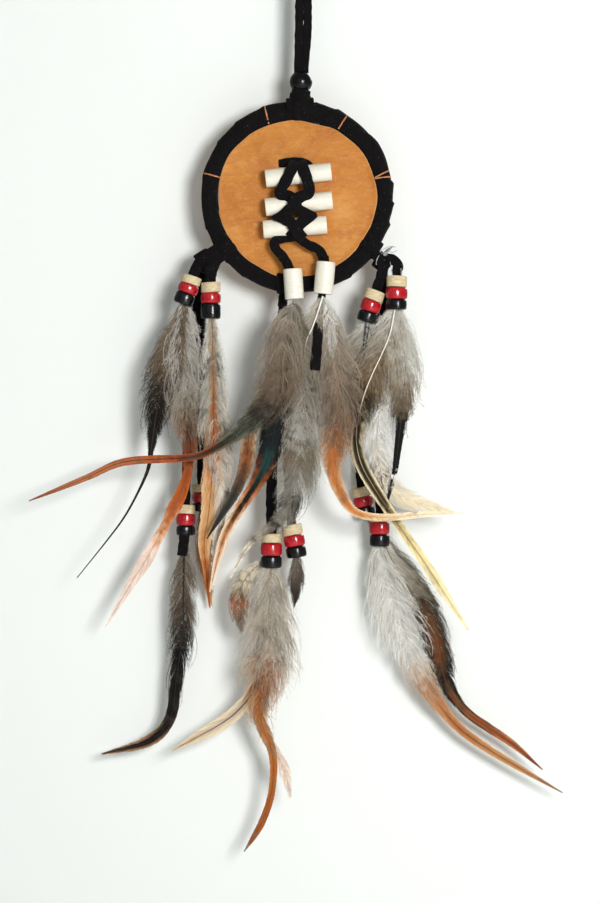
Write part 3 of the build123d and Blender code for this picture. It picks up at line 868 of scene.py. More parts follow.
def quill_material(name, stops, bands=None):
    """Colours along the shaft, with dark bands near its root where it has them."""
    m = Nodes(f"quill_{name}", Roughness=0.4, Specular_IOR_Level=0.4)
    along = m.attribute("along")
    color = stops_ramp(m, along, stops)
    if bands:
        uneven = m.grey(m.noise(420, 2, 0.5, bend=1.0), -3.4, 3.4)
        wave = m.math("SINE", m.math("MULTIPLY_ADD", along, bands * 2 * pi, uneven))
        near = m.grey(along, 1, 0, 0.31, 0.35)
        color = m.mix(m.math("MULTIPLY", m.grey(wave, 0, 1, -0.15, 0.15), near), color, linear(20, 19, 18))
    m.color(m.scaled(color, m.grey(m.noise(900, 2, 0.6), 0.85, 1.1)))
    return m.material


def curve_through(points, steps=24):
    """Smooth line through rows of numbers."""
    rows = np.asarray(points, float)
    padded = np.vstack([2 * rows[0] - rows[1], rows, 2 * rows[-1] - rows[-2]])
    out = []
    for a, b, c, d in zip(padded, padded[1:], padded[2:], padded[3:]):
        t = np.linspace(0, 1, steps, endpoint=False)[:, None]
        bends = (2 * a - 5 * b + 4 * c - d) * t**2 + (3 * b - a - 3 * c + d) * t**3
        out.append(0.5 * (2 * b + (c - a) * t + bends))
    out.append(rows[-1:])
    return np.concatenate(out)


class Shaft:
    """A feather's line through rows of x, z and half width, and how downy it is along its length."""

    def __init__(self, rows, fluffy):
        self.line = curve_through(rows)
        self.arc = np.r_[0, np.cumsum(np.linalg.norm(np.diff(self.line[:, :2], axis=0), axis=1))]
        self.total = self.arc[-1]
        self.heading = unit(np.gradient(self.line[:, :2], self.arc, axis=0))
        self.fluffy = np.array(fluffy, float).T

    def at(self, s):
        """Place and heading at a distance along the shaft, going straight on past its ends."""
        s = np.asarray(s, float)
        inside = np.clip(s, 0, self.total)
        columns = (*self.line[:, :2].T, *self.heading.T)
        x, z, hx, hz = (np.interp(inside, self.arc, column) for column in columns)
        beyond = s - inside
        return x + hx * beyond, z + hz * beyond, hx, hz

    def half(self, s):
        return np.interp(np.clip(s, 0, self.total), self.arc, np.maximum(self.line[:, 2], 0.05))

    def fluff(self, s):
        return np.interp(s / self.total, *self.fluffy)


class Barbs:
    """Barbs as thin tapered blades: where each leaves the shaft, how it turns and how it lies."""

    def __init__(self, shaft, y, depth, dense, loose, rng):
        self.shaft = shaft
        grid = np.linspace(0, shaft.total, 400)
        rate = dense * (6.0 - 0.8 * shaft.fluff(grid)) * (1 + 0.25 * (shaft.half(grid) > 4))
        cumulative = np.r_[0, np.cumsum((rate[1:] + rate[:-1]) / 2 * np.diff(grid))]
        count = int(cumulative[-1]) * 2
        share = (np.arange(count) // 2 + rng.uniform(0, 1, count)) / count * 2
        start = np.maximum(np.interp(share * cumulative[-1], cumulative, grid), 0.012 * shaft.total)
        side = np.where(np.arange(count) % 2 == 0, 1.0, -1.0)
        self.fluff = fluff = shaft.fluff(start)
        clumps = [wobble(rng.integers(1 << 30), 14.0)(start) for _ in range(2)]
        clump = np.where(side > 0, *clumps)
        fine = np.where(side > 0, wobble(5 + count, 4.0)(start), wobble(6 + count, 4.0)(start))

        first = 25 + 17 * fluff + clump * (0.8 + 11 * fluff * loose)
        first = np.radians(first + rng.normal(size=count) * (1.0 + 12 * fluff * loose))
        last = 6 + 5 * fluff + clump * (1.0 + 14 * fluff * loose) + fine * (0.3 + 7 * fluff)
        last = np.radians(last + rng.normal(size=count) * (1.3 + 13 * fluff * loose))
        u = np.linspace(0, 1, BARB_POINTS)
        swing = (fluff * np.radians(24) * rng.uniform(0.2, 1, count))[:, None]
        cycles, phase = rng.uniform(0.7, 2.0, count)[:, None], rng.uniform(0, 1, count)[:, None]
        angle = first[:, None] + (last - first)[:, None] * u**0.8
        angle = angle + swing * u * np.sin(2 * pi * (cycles * u + phase))
        mid = (angle[:, 1:] + angle[:, :-1]) / 2
        across = np.c_[np.zeros(count), np.cumsum(np.sin(mid), 1)] / (BARB_POINTS - 1)
        ahead = np.c_[np.zeros(count), np.cumsum(np.cos(mid), 1)] / (BARB_POINTS - 1)

        reach = np.maximum(across[:, -1], 0.12)
        length = shaft.half(start) / reach
        for _ in range(3):
            length = 0.5 * length + 0.5 * shaft.half(start + length * ahead[:, -1]) / reach
        spread = np.where(rng.uniform(size=count) < 0.25, 1.1, 0.9)
        ragged = rng.uniform(-0.5, 0.3, count) * spread * fluff * loose
        length = length * (1 + ragged + rng.uniform(-0.1, 0.06, count) * (1 - fluff))
        length = np.clip(length, 0.5, 26)

        place = start[:, None] + length[:, None] * ahead
        shift = fluff * rng.normal(size=count) * 0.16 * shaft.half(start)
        off = side[:, None] * length[:, None] * across + shift[:, None]
        x, z, hx, hz = shaft.at(place)
        norm = np.hypot(hx, hz)
        lay = rng.uniform(depth[0], depth[1], count) * fluff
        ripple = np.sin(7 * u + rng.uniform(0, 6, count)[:, None])
        py = y + lay[:, None] * u**1.1 + (0.16 * np.abs(off)) * (1 - fluff[:, None]) * 0.6
        py = py + fluff[:, None] * 0.25 * ripple
        self.line = np.stack([x + off * (-hz / norm), py, z + off * (hx / norm)], -1)
        self.forward = unit(np.gradient(self.line, axis=1))
        self.flat = unit(np.cross(self.forward, (0.0, 1.0, 0.0)))
        roll = (np.radians(12 + 50 * fluff) * rng.uniform(-1, 1, count))[:, None, None]
        blade = self.flat * np.cos(roll) + np.cross(self.forward, self.flat) * np.sin(roll)
        half = (0.2 - 0.075 * fluff)[:, None] * (1 - 0.72 * u) * rng.uniform(0.8, 1.2, count)[:, None]
        blade = blade * half[..., None]
        self.points = np.stack([self.line - blade, self.line + blade], 2).reshape(-1, 3)
        base = np.arange(count)[:, None] * BARB_POINTS * 2 + np.arange(BARB_POINTS - 1) * 2
        self.faces = np.stack([base, base + 1, base + 3, base + 2], -1).reshape(-1, 4)

        self.place = place
        tone = 0.5 + (0.08 + 0.2 * fluff) * clump + (0.05 + 0.1 * fluff) * fine
        self.tone = np.clip(tone + rng.normal(size=count) * (0.19 + 0.01 * fluff), 0, 1)
        self.marks = {
            "along": np.repeat(np.clip(place / shaft.total, 0, 1), 2, axis=1).reshape(-1),
            "across": np.repeat(np.broadcast_to(u, (count, BARB_POINTS)), 2, axis=1).reshape(-1),
            "tone": np.repeat(self.tone, BARB_POINTS * 2),
        }


def barbules(barbs, rng):
    """Short hairs both ways off the downy barbs."""
    downy = np.flatnonzero(barbs.fluff > 0.25)
    where = rng.uniform(0.12, 1, (len(downy), HAIRS, 2))
    low = np.minimum((where * (BARB_POINTS - 1)).astype(int), BARB_POINTS - 2)
    rest = (where * (BARB_POINTS - 1) - low)[..., None]
    rows = downy[:, None, None]
    root = barbs.line[rows, low] * (1 - rest) + barbs.line[rows, low + 1] * rest
    run = barbs.forward[rows, low]
    sideways = barbs.flat[rows, low] * np.array((1.0, -1.0))[:, None]
    lean = np.radians(rng.uniform(25, 65, where.shape))[..., None]
    way = run * np.cos(lean) + sideways * np.sin(lean) + rng.normal(size=root.shape) * (0.0, 0.35, 0.0)
    size = rng.uniform(0.5, 1.5, where.shape)[..., None] * (0.5 + 0.5 * barbs.fluff[rows])[..., None]
    points = np.stack([root - run * 0.045, root + run * 0.045, root + way * size], -2).reshape(-1, 3)
    tone = np.clip(barbs.tone[rows] + rng.normal(size=where.shape) * 0.1, 0, 1)
    marks = {
        "along": np.repeat(np.clip(barbs.place[rows, low] / barbs.shaft.total, 0, 1).reshape(-1), 3),
        "across": np.repeat(where.reshape(-1), 3),
        "tone": np.repeat(tone.reshape(-1), 3),
    }
    return points, np.arange(len(points)).reshape(-1, 3), marks


def web(shaft, y):
    """A thin sheet behind the barbs where the vane is closed."""
    s = np.linspace(0.02 * shaft.total, shaft.total, WEB_ROWS)
    closed = np.clip(1.1 - 1.6 * shaft.fluff(s), 0, 1) * shaft.half(s) * 0.72
    x, z, hx, hz = (column[:, None] for column in shaft.at(s))
    wide = np.array((-1.0, 0.0, 1.0))[None, :] * closed[:, None]
    back = np.full((WEB_ROWS, 3), y + 0.2) + 0.08 * np.abs(wide)
    points = np.stack([x - wide * hz, back, z + wide * hx], -1).reshape(-1, 3)
    base = (np.arange(WEB_ROWS - 1)[:, None] * 3 + np.arange(2)).reshape(-1)
    faces = np.stack([base, base + 1, base + 4, base + 3], -1)[np.repeat(closed[:-1] > 0.05, 2)]
    marks = {
        "along": np.repeat(s / shaft.total, 3),
        "across": np.tile((0.7, 0.2, 0.7), WEB_ROWS),
        "tone": np.full(WEB_ROWS * 3, 0.35),
    }
    return points, faces, marks


def rachis(shaft, y, front, thick):
    """A tapered rod just in front of the barbs."""
    s = np.linspace(0, shaft.total * 0.97, ROD_ROWS)
    x, z, hx, hz = shaft.at(s)
    rod = np.c_[x, y + np.interp(shaft.fluff(s), (0, 0.5), (min(front, -0.28), front)), z]
    ahead = unit(np.c_[hx, np.zeros(ROD_ROWS), hz])
    side = np.c_[-ahead[:, 2], np.zeros(ROD_ROWS), ahead[:, 0]]
    size = np.interp(s / shaft.total, (0, 0.15, 0.6, 1), (thick, thick * 0.9, thick * 0.42, 0.07))
    corner = (np.arange(ROD_SIDES) * 2 * pi / ROD_SIDES)[None, :, None]
    section = np.cos(corner) * side[:, None] + np.sin(corner) * np.array((0.0, 1.0, 0.0))
    tube = rod[:, None] + size[:, None, None] * section
    row = np.arange(ROD_ROWS - 1)[:, None] * ROD_SIDES
    here, following = row + np.arange(ROD_SIDES), row + (np.arange(ROD_SIDES) + 1) % ROD_SIDES
    faces = np.stack([here, following, following + ROD_SIDES, here + ROD_SIDES], -1).reshape(-1, 4)
    marks = {
        "along": np.repeat(s / shaft.total, ROD_SIDES),
        "across": np.zeros(ROD_ROWS * ROD_SIDES),
        "tone": np.full(ROD_ROWS * ROD_SIDES, 0.5),
    }
    return tube.reshape(-1, 3), faces, marks


def feather_mesh(name, parts):
    """One mesh from parts of points, faces and marks; the last part takes the second material."""
    mesh = bpy.data.meshes.new(name)
    points = np.concatenate([part[0] for part in parts]) * MM
    starts = np.cumsum([0] + [len(part[0]) for part in parts])
    loops = np.concatenate([(part[1] + start).reshape(-1) for part, start in zip(parts, starts)])
    sizes = np.concatenate([np.full(len(part[1]), part[1].shape[1]) for part in parts])
    rod_faces = len(parts[-1][1])
    slots = np.r_[np.zeros(len(sizes) - rod_faces), np.ones(rod_faces)]
    mesh.vertices.add(len(points))
    mesh.vertices.foreach_set("co", points.astype(np.float32).reshape(-1))
    mesh.loops.add(len(loops))
    mesh.loops.foreach_set("vertex_index", loops.astype(np.int32))
    mesh.polygons.add(len(sizes))
    mesh.polygons.foreach_set("loop_start", np.r_[0, np.cumsum(sizes)[:-1]].astype(np.int32))
    mesh.update(calc_edges=True)
    mesh.polygons.foreach_set("material_index", slots.astype(np.int32))
    mesh.polygons.foreach_set("use_smooth", [True] * len(sizes))
    for key in ("along", "across", "tone"):
        values = np.concatenate([part[2][key] for part in parts]).astype(np.float32)
        mesh.attributes.new(key, "FLOAT", "POINT").data.foreach_set("value", values)
    mesh.validate()
    return mesh


def feather(name, y, shaft, fluffy, core, edge=None, quill=TAN_QUILL, depth=(-1.2, 1.2), dense=1.0, loose=1.0,
            thick=0.27, front=-0.15, bands=None, mottle=None, blend=(0.35, 0.95)):
    """A feather on the body that its name begins with, in the layer y.

    shaft: rows of x, z and half width.
    fluffy: how downy it is along the shaft, from 0 for a closed vane to 1.
    core, edge, quill: rows of share of the length and colour.
    mottle: strength, colour and scale of spots.
    depth: how far the down reaches before and behind the layer. front: place of the rachis in it."""
    rng = np.random.default_rng(zlib.crc32(name.encode()))
    line = Shaft(shaft, fluffy)
    barbs = Barbs(line, y, depth, dense, loose, rng)
    vane = (barbs.points, barbs.faces, barbs.marks)
    mesh = feather_mesh(name, (vane, barbules(barbs, rng), web(line, y), rachis(line, y, front, thick)))
    found = bpy.data.objects.new(name, mesh)
    bpy.context.collection.objects.link(found)
    mesh.materials.append(feather_material(name, core, edge, mottle, blend))
    mesh.materials.append(quill_material(name, quill, bands))
    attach(found, "_".join(name.split("_")[:2]))
    if f"feather_{name}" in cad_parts:
        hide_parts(f"feather_{name}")


feather(
    "left_short_outer_dark", -2.9, depth=(-1.2, 3), thick=0.2, quill=DARK_QUILL,
    mottle=(0.6, (44, 37, 30), 150),
    shaft=[(-47.9, -160, 0.5), (-49.4, -165.5, 2.4), (-54.5, -184, 7.2), (-59, -202, 5.6), (-61, -213, 2.8),
        (-62.4, -223, 1.2), (-63.6, -231, 0.7), (-67.4, -240, 0.45), (-73.4, -251, 0.35),
        (-80.6, -260.8, 0.25), (-93.1, -276.4, 0.1)],
    fluffy=[(0, 1), (0.34, 1), (0.42, 0.5), (0.5, 0.15), (0.6, 0)],
    core=[(0, 150, 138, 120), (0.12, 132, 116, 96), (0.24, 104, 86, 66), (0.3, 62, 52, 42), (0.4, 30, 26, 23),
        (1, 14, 13, 12)],
)
feather(
    "left_short_outer_pink", -2.2, depth=(-3.2, 1.5), thick=0.18, front=0.1,
    mottle=(0.14, (120, 106, 92), 130),
    shaft=[(-47.9, -160, 0.6), (-48.6, -166, 3.4), (-48.6, -184, 7), (-48, -205, 6.2), (-46.6, -219, 3),
        (-46.8, -229, 1.8), (-47.6, -234.4, 1.8), (-49.6, -240.6, 2.5), (-52.8, -247.3, 2.7),
        (-56.3, -254.2, 1.7), (-60.1, -261.1, 2.2), (-64.2, -268.5, 2.8), (-70.5, -278.5, 1.9),
        (-81, -296.4, 0.3)],
    fluffy=[(0, 1), (0.28, 1), (0.38, 0.6), (0.46, 0.1), (1, 0)],
    core=[(0, 208, 204, 196), (0.12, 200, 196, 188), (0.26, 182, 176, 166), (0.33, 126, 108, 88),
        (0.4, 78, 56, 42), (0.45, 104, 54, 30), (0.49, 150, 68, 24), (0.6, 168, 80, 30), (0.66, 192, 118, 72),
        (0.7, 226, 178, 144), (0.75, 240, 212, 196), (1, 244, 226, 212)],
    edge=[(0, 208, 204, 196), (0.3, 178, 168, 152), (0.44, 150, 84, 46), (0.6, 200, 112, 52),
        (0.66, 216, 156, 116), (0.72, 236, 200, 180), (0.8, 240, 212, 196), (1, 244, 226, 212)],
    quill=[(0, 190, 184, 172), (0.45, 96, 60, 36), (1, 176, 130, 104)],
)
feather(
    "left_short_inner_grey", -4.8, depth=(-2.6, 1.6), dense=0.95, loose=0.75, thick=0.18,
    front=0.3, quill=WHITE_QUILL, mottle=(0.7, (52, 45, 38), 120),
    shaft=[(-37.5, -165, 0.6), (-37.4, -170, 2), (-36.8, -180, 3.2), (-36.2, -196, 4.2), (-36, -212, 6),
        (-34.4, -224, 5), (-33, -240, 3), (-36.7, -281.8, 0.3)],
    fluffy=[(0, 1), (0.5, 1), (0.62, 0.5), (0.7, 0.1)],
    core=[(0, 222, 219, 210), (0.2, 212, 208, 199), (0.32, 196, 190, 178), (0.45, 206, 196, 178),
        (0.56, 212, 202, 190), (0.7, 216, 204, 190), (1, 236, 224, 206)],
)
feather(
    "left_short_inner_tan", -5.2, depth=(-1.5, 2.5), thick=0.18, quill=DARK_QUILL,
    shaft=[(-37.5, -165, 0.5), (-36.8, -174, 1.2), (-36.4, -205, 1.8), (-36.2, -220, 3.4), (-36.9, -234, 4),
        (-38.4, -250, 3.1), (-40.2, -262, 2.5), (-39.4, -273, 1.3), (-38, -288.1, 0.3)],
    fluffy=[(0, 0.9), (0.35, 0.6), (0.5, 0.12), (0.6, 0.02), (1, 0)],
    core=[(0, 190, 172, 146), (0.3, 158, 110, 72), (0.42, 174, 92, 40), (0.52, 188, 110, 54),
        (0.6, 202, 144, 90), (0.7, 206, 156, 104), (0.8, 194, 132, 80), (0.88, 174, 96, 44),
        (1, 158, 80, 36)],
    edge=[(0, 190, 172, 146), (0.38, 206, 166, 120), (0.6, 222, 186, 140), (0.78, 224, 188, 142),
        (0.9, 194, 122, 66), (1, 158, 80, 36)],
)

feather(
    "left_long_outer", 5.7, depth=(-1.8, 3), thick=0.34, front=-0.9,
    mottle=(0.45, (70, 60, 52), 140),
    shaft=[(-48.4, -257, 0.5), (-48.8, -265, 1.2), (-49, -273, 3.2), (-49.2, -286, 4.7), (-49.6, -300, 4),
        (-52.2, -319, 2.4), (-55, -336, 2.2), (-64, -345.5, 2.2), (-82.7, -350.7, 0.4)],
    fluffy=[(0, 1), (0.36, 1), (0.52, 0.4), (0.66, 0.1), (0.75, 0.3), (1, 0.1)],
    core=[(0, 140, 126, 108), (0.14, 122, 106, 86), (0.28, 98, 82, 66), (0.36, 54, 46, 40),
        (0.44, 24, 21, 20), (0.8, 16, 15, 14), (1, 60, 44, 32)],
    edge=[(0, 164, 154, 140), (0.34, 96, 84, 72), (0.46, 30, 27, 25), (0.7, 44, 34, 28),
        (0.82, 176, 134, 100), (1, 186, 146, 112)],
    quill=[(0, 70, 60, 50), (0.08, 18, 16, 15), (1, 18, 16, 15)],
)
feather(
    "left_long_inner", 11.8, depth=(-2, 2),
    shaft=[(-42, -247, 0.5), (-41.5, -252, 1.4), (-40.6, -266, 3.2), (-38, -288, 0.5)],
    fluffy=[(0, 0.9), (0.5, 0.7), (1, 0.1)],
    core=[(0, 150, 122, 92), (0.5, 170, 128, 88), (1, 206, 160, 116)],
)

feather(
    "drop_left_sweeping", -13, depth=(-3.2, 2.2), dense=1.15, thick=0.34, front=0.3,
    mottle=(0.4, (88, 72, 60), 130),
    shaft=[(-2.9, -161.6, 2), (-4.6, -166, 4.6), (-6.8, -173, 7.4), (-8, -186, 8.2), (-9.6, -197, 7.2),
        (-13.6, -205.4, 5.2), (-21.4, -212.2, 3.4), (-29, -218.4, 2.3), (-38.3, -224.1, 1.5),
        (-47, -226.6, 1.5), (-62.5, -227.3, 1.6), (-71, -228, 1.5), (-78, -229.8, 1.4), (-87, -234.1, 1.2),
        (-100.6, -239.7, 0.8), (-111.9, -244.2, 0.2)],
    fluffy=[(0, 1), (0.24, 1), (0.3, 0.6), (0.37, 0.3), (0.44, 0.12), (0.52, 0)],
    core=[(0, 172, 164, 152), (0.06, 156, 144, 128), (0.14, 146, 130, 112), (0.23, 130, 112, 94),
        (0.28, 86, 76, 66), (0.33, 48, 46, 40), (0.38, 60, 64, 54), (0.45, 36, 42, 34), (0.5, 70, 42, 24),
        (0.57, 124, 54, 24), (0.66, 170, 96, 58), (0.86, 186, 116, 76), (1, 146, 80, 46)],
    edge=[(0, 180, 172, 160), (0.24, 138, 118, 98), (0.33, 70, 64, 54), (0.39, 128, 130, 114),
        (0.46, 112, 104, 80), (0.5, 164, 78, 32), (0.58, 176, 76, 28), (0.75, 156, 74, 38), (1, 146, 76, 42)],
    quill=[(0, 120, 106, 90), (0.3, 60, 52, 42), (0.5, 40, 22, 14), (1, 96, 50, 30)],
)
feather(
    "drop_left_grey", -12.3, depth=(-2, 2), loose=0.8, thick=0.18, front=0.3, quill=DARK_QUILL,
    mottle=(0.85, (52, 46, 40), 95),
    shaft=[(-2.2, -161.6, 0.8), (1.2, -188, 5), (0, -214, 6.6), (-0.4, -230, 7), (-3.2, -243, 4.8),
        (-7.6, -251.2, 3), (-13.2, -255.6, 1.7), (-18.4, -260, 1.2), (-23.2, -265, 1), (-28.8, -275.6, 0.3)],
    fluffy=[(0, 1), (0.66, 1), (0.76, 0.6), (0.86, 0.15), (1, 0)],
    core=[(0, 140, 128, 112), (0.35, 156, 148, 134), (0.44, 184, 180, 170), (0.52, 132, 118, 98),
        (0.62, 158, 154, 144), (0.74, 132, 126, 114), (0.84, 178, 168, 152), (0.93, 226, 212, 190),
        (1, 236, 224, 206)],
)
# drop_left_black: the teal in its core from 0.48 to 0.63 along is a painted sheen, the black vane's
# iridescence set into its colour
feather(
    "drop_left_black", -10.8, depth=(-2, 1), thick=0.22, blend=(0.2, 0.62),
    shaft=[(-3, -161.6, 0.6), (-4.6, -186, 3), (-6.4, -202, 4.6), (-10, -210, 5.4), (-11.9, -219.6, 5),
        (-14.4, -228.6, 4), (-17.9, -236.2, 2.9), (-22.3, -243, 2.3), (-27.2, -250.6, 2.1),
        (-31.4, -258.4, 2), (-33.8, -266, 1.7), (-35.6, -273, 1.1), (-37.6, -281.5, 0.2)],
    fluffy=[(0, 0.9), (0.25, 0.5), (0.36, 0.12), (1, 0)],
    core=[(0, 70, 62, 52), (0.25, 34, 36, 34), (0.42, 20, 26, 28), (0.48, 22, 32, 34), (0.52, 28, 60, 56),
        (0.58, 28, 58, 52), (0.63, 18, 25, 24), (0.69, 22, 22, 20), (0.75, 96, 54, 28), (0.83, 196, 132, 88),
        (1, 236, 208, 180)],
    edge=[(0, 80, 72, 60), (0.4, 22, 24, 26), (0.53, 20, 22, 23), (0.6, 124, 62, 30), (0.68, 190, 120, 72),
        (0.76, 232, 198, 158), (1, 244, 226, 206)],
    quill=[(0, 60, 54, 44), (0.4, 10, 11, 12), (0.7, 16, 14, 12), (1, 120, 70, 40)],
)
feather(
    "drop_left_rust", -11.6, depth=(-1.6, 1.2), thick=0.2, quill=DARK_QUILL,
    mottle=(0.6, (62, 48, 36), 420),
    shaft=[(-3.2, -161.6, 0.6), (-9, -190, 2.4), (-17.4, -206, 3.2), (-21.2, -216.1, 3.1),
        (-22.3, -226.5, 2.9), (-24.4, -234.4, 2.4), (-28.3, -243.1, 1.8), (-33.2, -250.8, 1.2),
        (-38.6, -259.6, 0.2)],
    fluffy=[(0, 0.9), (0.3, 0.6), (0.4, 0.3), (0.6, 0.12), (1, 0.02)],
    core=[(0, 110, 98, 82), (0.4, 150, 126, 96), (0.54, 146, 112, 78), (0.64, 134, 74, 38),
        (0.72, 96, 62, 40), (0.78, 50, 50, 46), (0.9, 40, 42, 38), (1, 36, 34, 32)],
    edge=[(0, 110, 98, 82), (0.4, 206, 190, 162), (0.56, 204, 186, 156), (0.68, 150, 112, 78),
        (0.8, 84, 78, 68), (1, 70, 62, 54)],
)

feather(
    "drop_right_pale", -11.8, depth=(-0.6, 2.4), thick=0.36, front=-1,
    mottle=(0.45, (76, 66, 52), 120),
    shaft=[(9, -159.8, 1), (7.4, -165, 3.8), (5, -172, 5.2), (2, -179.6, 6), (0.6, -194, 6.4),
        (1.6, -208, 4.6), (2.6, -219, 0.5)],
    fluffy=[(0, 1), (1, 1)],
    core=[(0, 196, 188, 174), (0.3, 158, 148, 130), (0.6, 106, 94, 76), (1, 70, 60, 46)],
    quill=[(0, 246, 244, 238), (0.3, 240, 236, 226), (0.36, 150, 136, 116), (1, 96, 84, 68)],
)
feather(
    "drop_right_white", -12, depth=(-1.4, 1.4), dense=0.5, thick=0.12, quill=WHITE_QUILL,
    shaft=[(9.4, -160, 0.6), (11.4, -166, 2.2), (12.4, -174, 2.5), (12.8, -184.5, 0.4)],
    fluffy=[(0, 1), (1, 1)],
    core=[(0, 232, 230, 223), (0.5, 220, 216, 207), (1, 196, 188, 174)],
)
feather(
    "drop_right_hackle", -11, depth=(-1.6, 1.4), thick=0.22,
    mottle=(0.45, (104, 88, 72), 130),
    shaft=[(9.6, -160.2, 0.6), (12, -174, 5.4), (14.4, -194, 8.6), (15.4, -209, 7.4), (14.4, -219.8, 4.4),
        (12.8, -228.4, 2.8), (14.5, -236.4, 2.4), (18, -244, 2.1), (22.2, -248.9, 1.7), (29, -251, 1.5),
        (37.6, -251.2, 1.4), (48.6, -250.2, 1.3), (67.6, -249.3, 0.2)],
    fluffy=[(0, 1), (0.4, 1), (0.45, 0.7), (0.5, 0.25), (0.56, 0.06), (1, 0)],
    core=[(0, 176, 166, 150), (0.22, 154, 138, 120), (0.36, 134, 112, 92), (0.43, 138, 94, 64),
        (0.48, 190, 114, 56), (0.6, 192, 114, 54), (0.67, 204, 136, 80), (0.75, 230, 190, 140),
        (0.85, 244, 228, 198), (1, 246, 236, 214)],
    edge=[(0, 186, 176, 160), (0.38, 150, 130, 112), (0.48, 208, 150, 100), (0.58, 228, 184, 138),
        (0.72, 240, 216, 176), (1, 248, 238, 214)],
    quill=[(0, 150, 136, 116), (0.4, 176, 104, 52), (0.7, 190, 110, 56), (0.8, 214, 160, 104),
        (1, 232, 204, 160)],
)

feather(
    "right_short_inner", -2.9, depth=(-1.4, 3), thick=0.95, front=-1.2, bands=15,
    mottle=(0.5, (84, 72, 54), 130),
    shaft=[(28, -167.6, 0.6), (27.6, -171.5, 4), (26.4, -180, 9.6), (23.6, -191, 10.8), (21.4, -203, 8),
        (22.4, -213, 3.6), (22, -221, 0.6)],
    fluffy=[(0, 1), (1, 1)],
    core=[(0, 206, 203, 195), (0.16, 186, 180, 168), (0.36, 142, 126, 104), (0.6, 112, 94, 72),
        (0.76, 58, 50, 38), (1, 34, 30, 24)],
    quill=[(0, 128, 128, 124), (0.3, 112, 110, 104), (0.36, 90, 80, 64), (1, 50, 44, 34)],
)
feather(
    "right_short_outer_hackle", -4.8, depth=(-0.8, 3.4), dense=1.1, thick=0.32, front=-1.2, blend=(0.4, 0.8),
    mottle=(0.3, (96, 80, 56), 130),
    shaft=[(39.7, -162, 0.8), (38.6, -167, 4.4), (37, -175, 8.2), (33.8, -183, 10.2), (29.8, -191.5, 9.8),
        (26.4, -200, 7.4), (23.8, -210, 3.6), (23, -219.5, 2.2), (25, -229, 2.6), (30, -238.4, 2.4),
        (39.2, -252.4, 1.9), (52, -271, 2), (57.4, -279.4, 2.1), (69.3, -297.7, 0.3)],
    fluffy=[(0, 1), (0.26, 1), (0.34, 0.5), (0.38, 0.15), (0.44, 0.03), (1, 0)],
    core=[(0, 218, 214, 205), (0.08, 198, 192, 180), (0.16, 150, 132, 106), (0.24, 118, 100, 74),
        (0.29, 52, 46, 32), (0.34, 32, 28, 20), (0.46, 46, 40, 26), (0.6, 70, 57, 35), (0.66, 206, 182, 128),
        (0.76, 246, 226, 166), (1, 248, 234, 190)],
    edge=[(0, 226, 223, 214), (0.12, 206, 200, 188), (0.24, 142, 122, 92), (0.31, 62, 56, 40),
        (0.37, 206, 190, 156), (0.5, 226, 212, 176), (0.66, 240, 224, 176), (1, 248, 236, 196)],
    quill=[(0, 246, 240, 228), (0.28, 236, 222, 200), (0.325, 70, 60, 44), (0.38, 80, 68, 48),
        (0.44, 190, 172, 132), (0.54, 150, 130, 90), (0.62, 60, 48, 30), (0.85, 104, 84, 50),
        (1, 220, 196, 140)],
)
feather(
    "right_short_outer_black", -4.1, depth=(-1, 2.4), thick=0.18, quill=DARK_QUILL,
    shaft=[(39.8, -162, 0.5), (40.8, -167, 2), (42.6, -176, 4.4), (43.4, -190, 6), (42.4, -203, 4.2),
        (41.6, -212, 2), (40.4, -222, 1.5), (38.9, -233, 1.1), (36.3, -243.4, 0.5)],
    fluffy=[(0, 1), (0.45, 1), (0.54, 0.5), (0.6, 0.1), (1, 0)],
    core=[(0, 214, 210, 202), (0.3, 208, 204, 194), (0.46, 146, 130, 108), (0.55, 110, 94, 74),
        (0.6, 22, 20, 19), (0.86, 18, 17, 17), (0.88, 226, 224, 218), (0.92, 226, 224, 218),
        (0.94, 24, 22, 21), (1, 26, 24, 23)],
)
feather(
    "right_short_back_white", -1.4, depth=(-1, 2.4), front=0.3, quill=WHITE_QUILL,
    shaft=[(39.8, -162, 0.5), (36.6, -185, 3.4), (33, -205, 6.2), (31.8, -218, 6), (33.6, -231, 3),
        (34.6, -238, 0.5)],
    fluffy=[(0, 1), (0.85, 1), (1, 0.5)],
    core=[(0, 220, 217, 208), (0.5, 238, 236, 230), (0.86, 236, 234, 228), (0.92, 120, 112, 104),
        (1, 34, 31, 29)],
)
feather(
    "right_short_cream", -2, depth=(-1.6, 1.4), dense=0.42, thick=0.13,
    shaft=[(30, -219, 0.6), (32.2, -227, 3.6), (35.2, -236, 4.6), (41.5, -242.6, 3.4), (51, -246, 2.6),
        (64.5, -249.4, 0.4)],
    fluffy=[(0, 0.9), (0.4, 0.6), (0.6, 0.35), (1, 0.2)],
    core=[(0, 226, 220, 208), (0.35, 228, 218, 200), (0.6, 244, 230, 200), (1, 248, 236, 208)],
    quill=[(0, 206, 196, 176), (1, 222, 196, 150)],
)

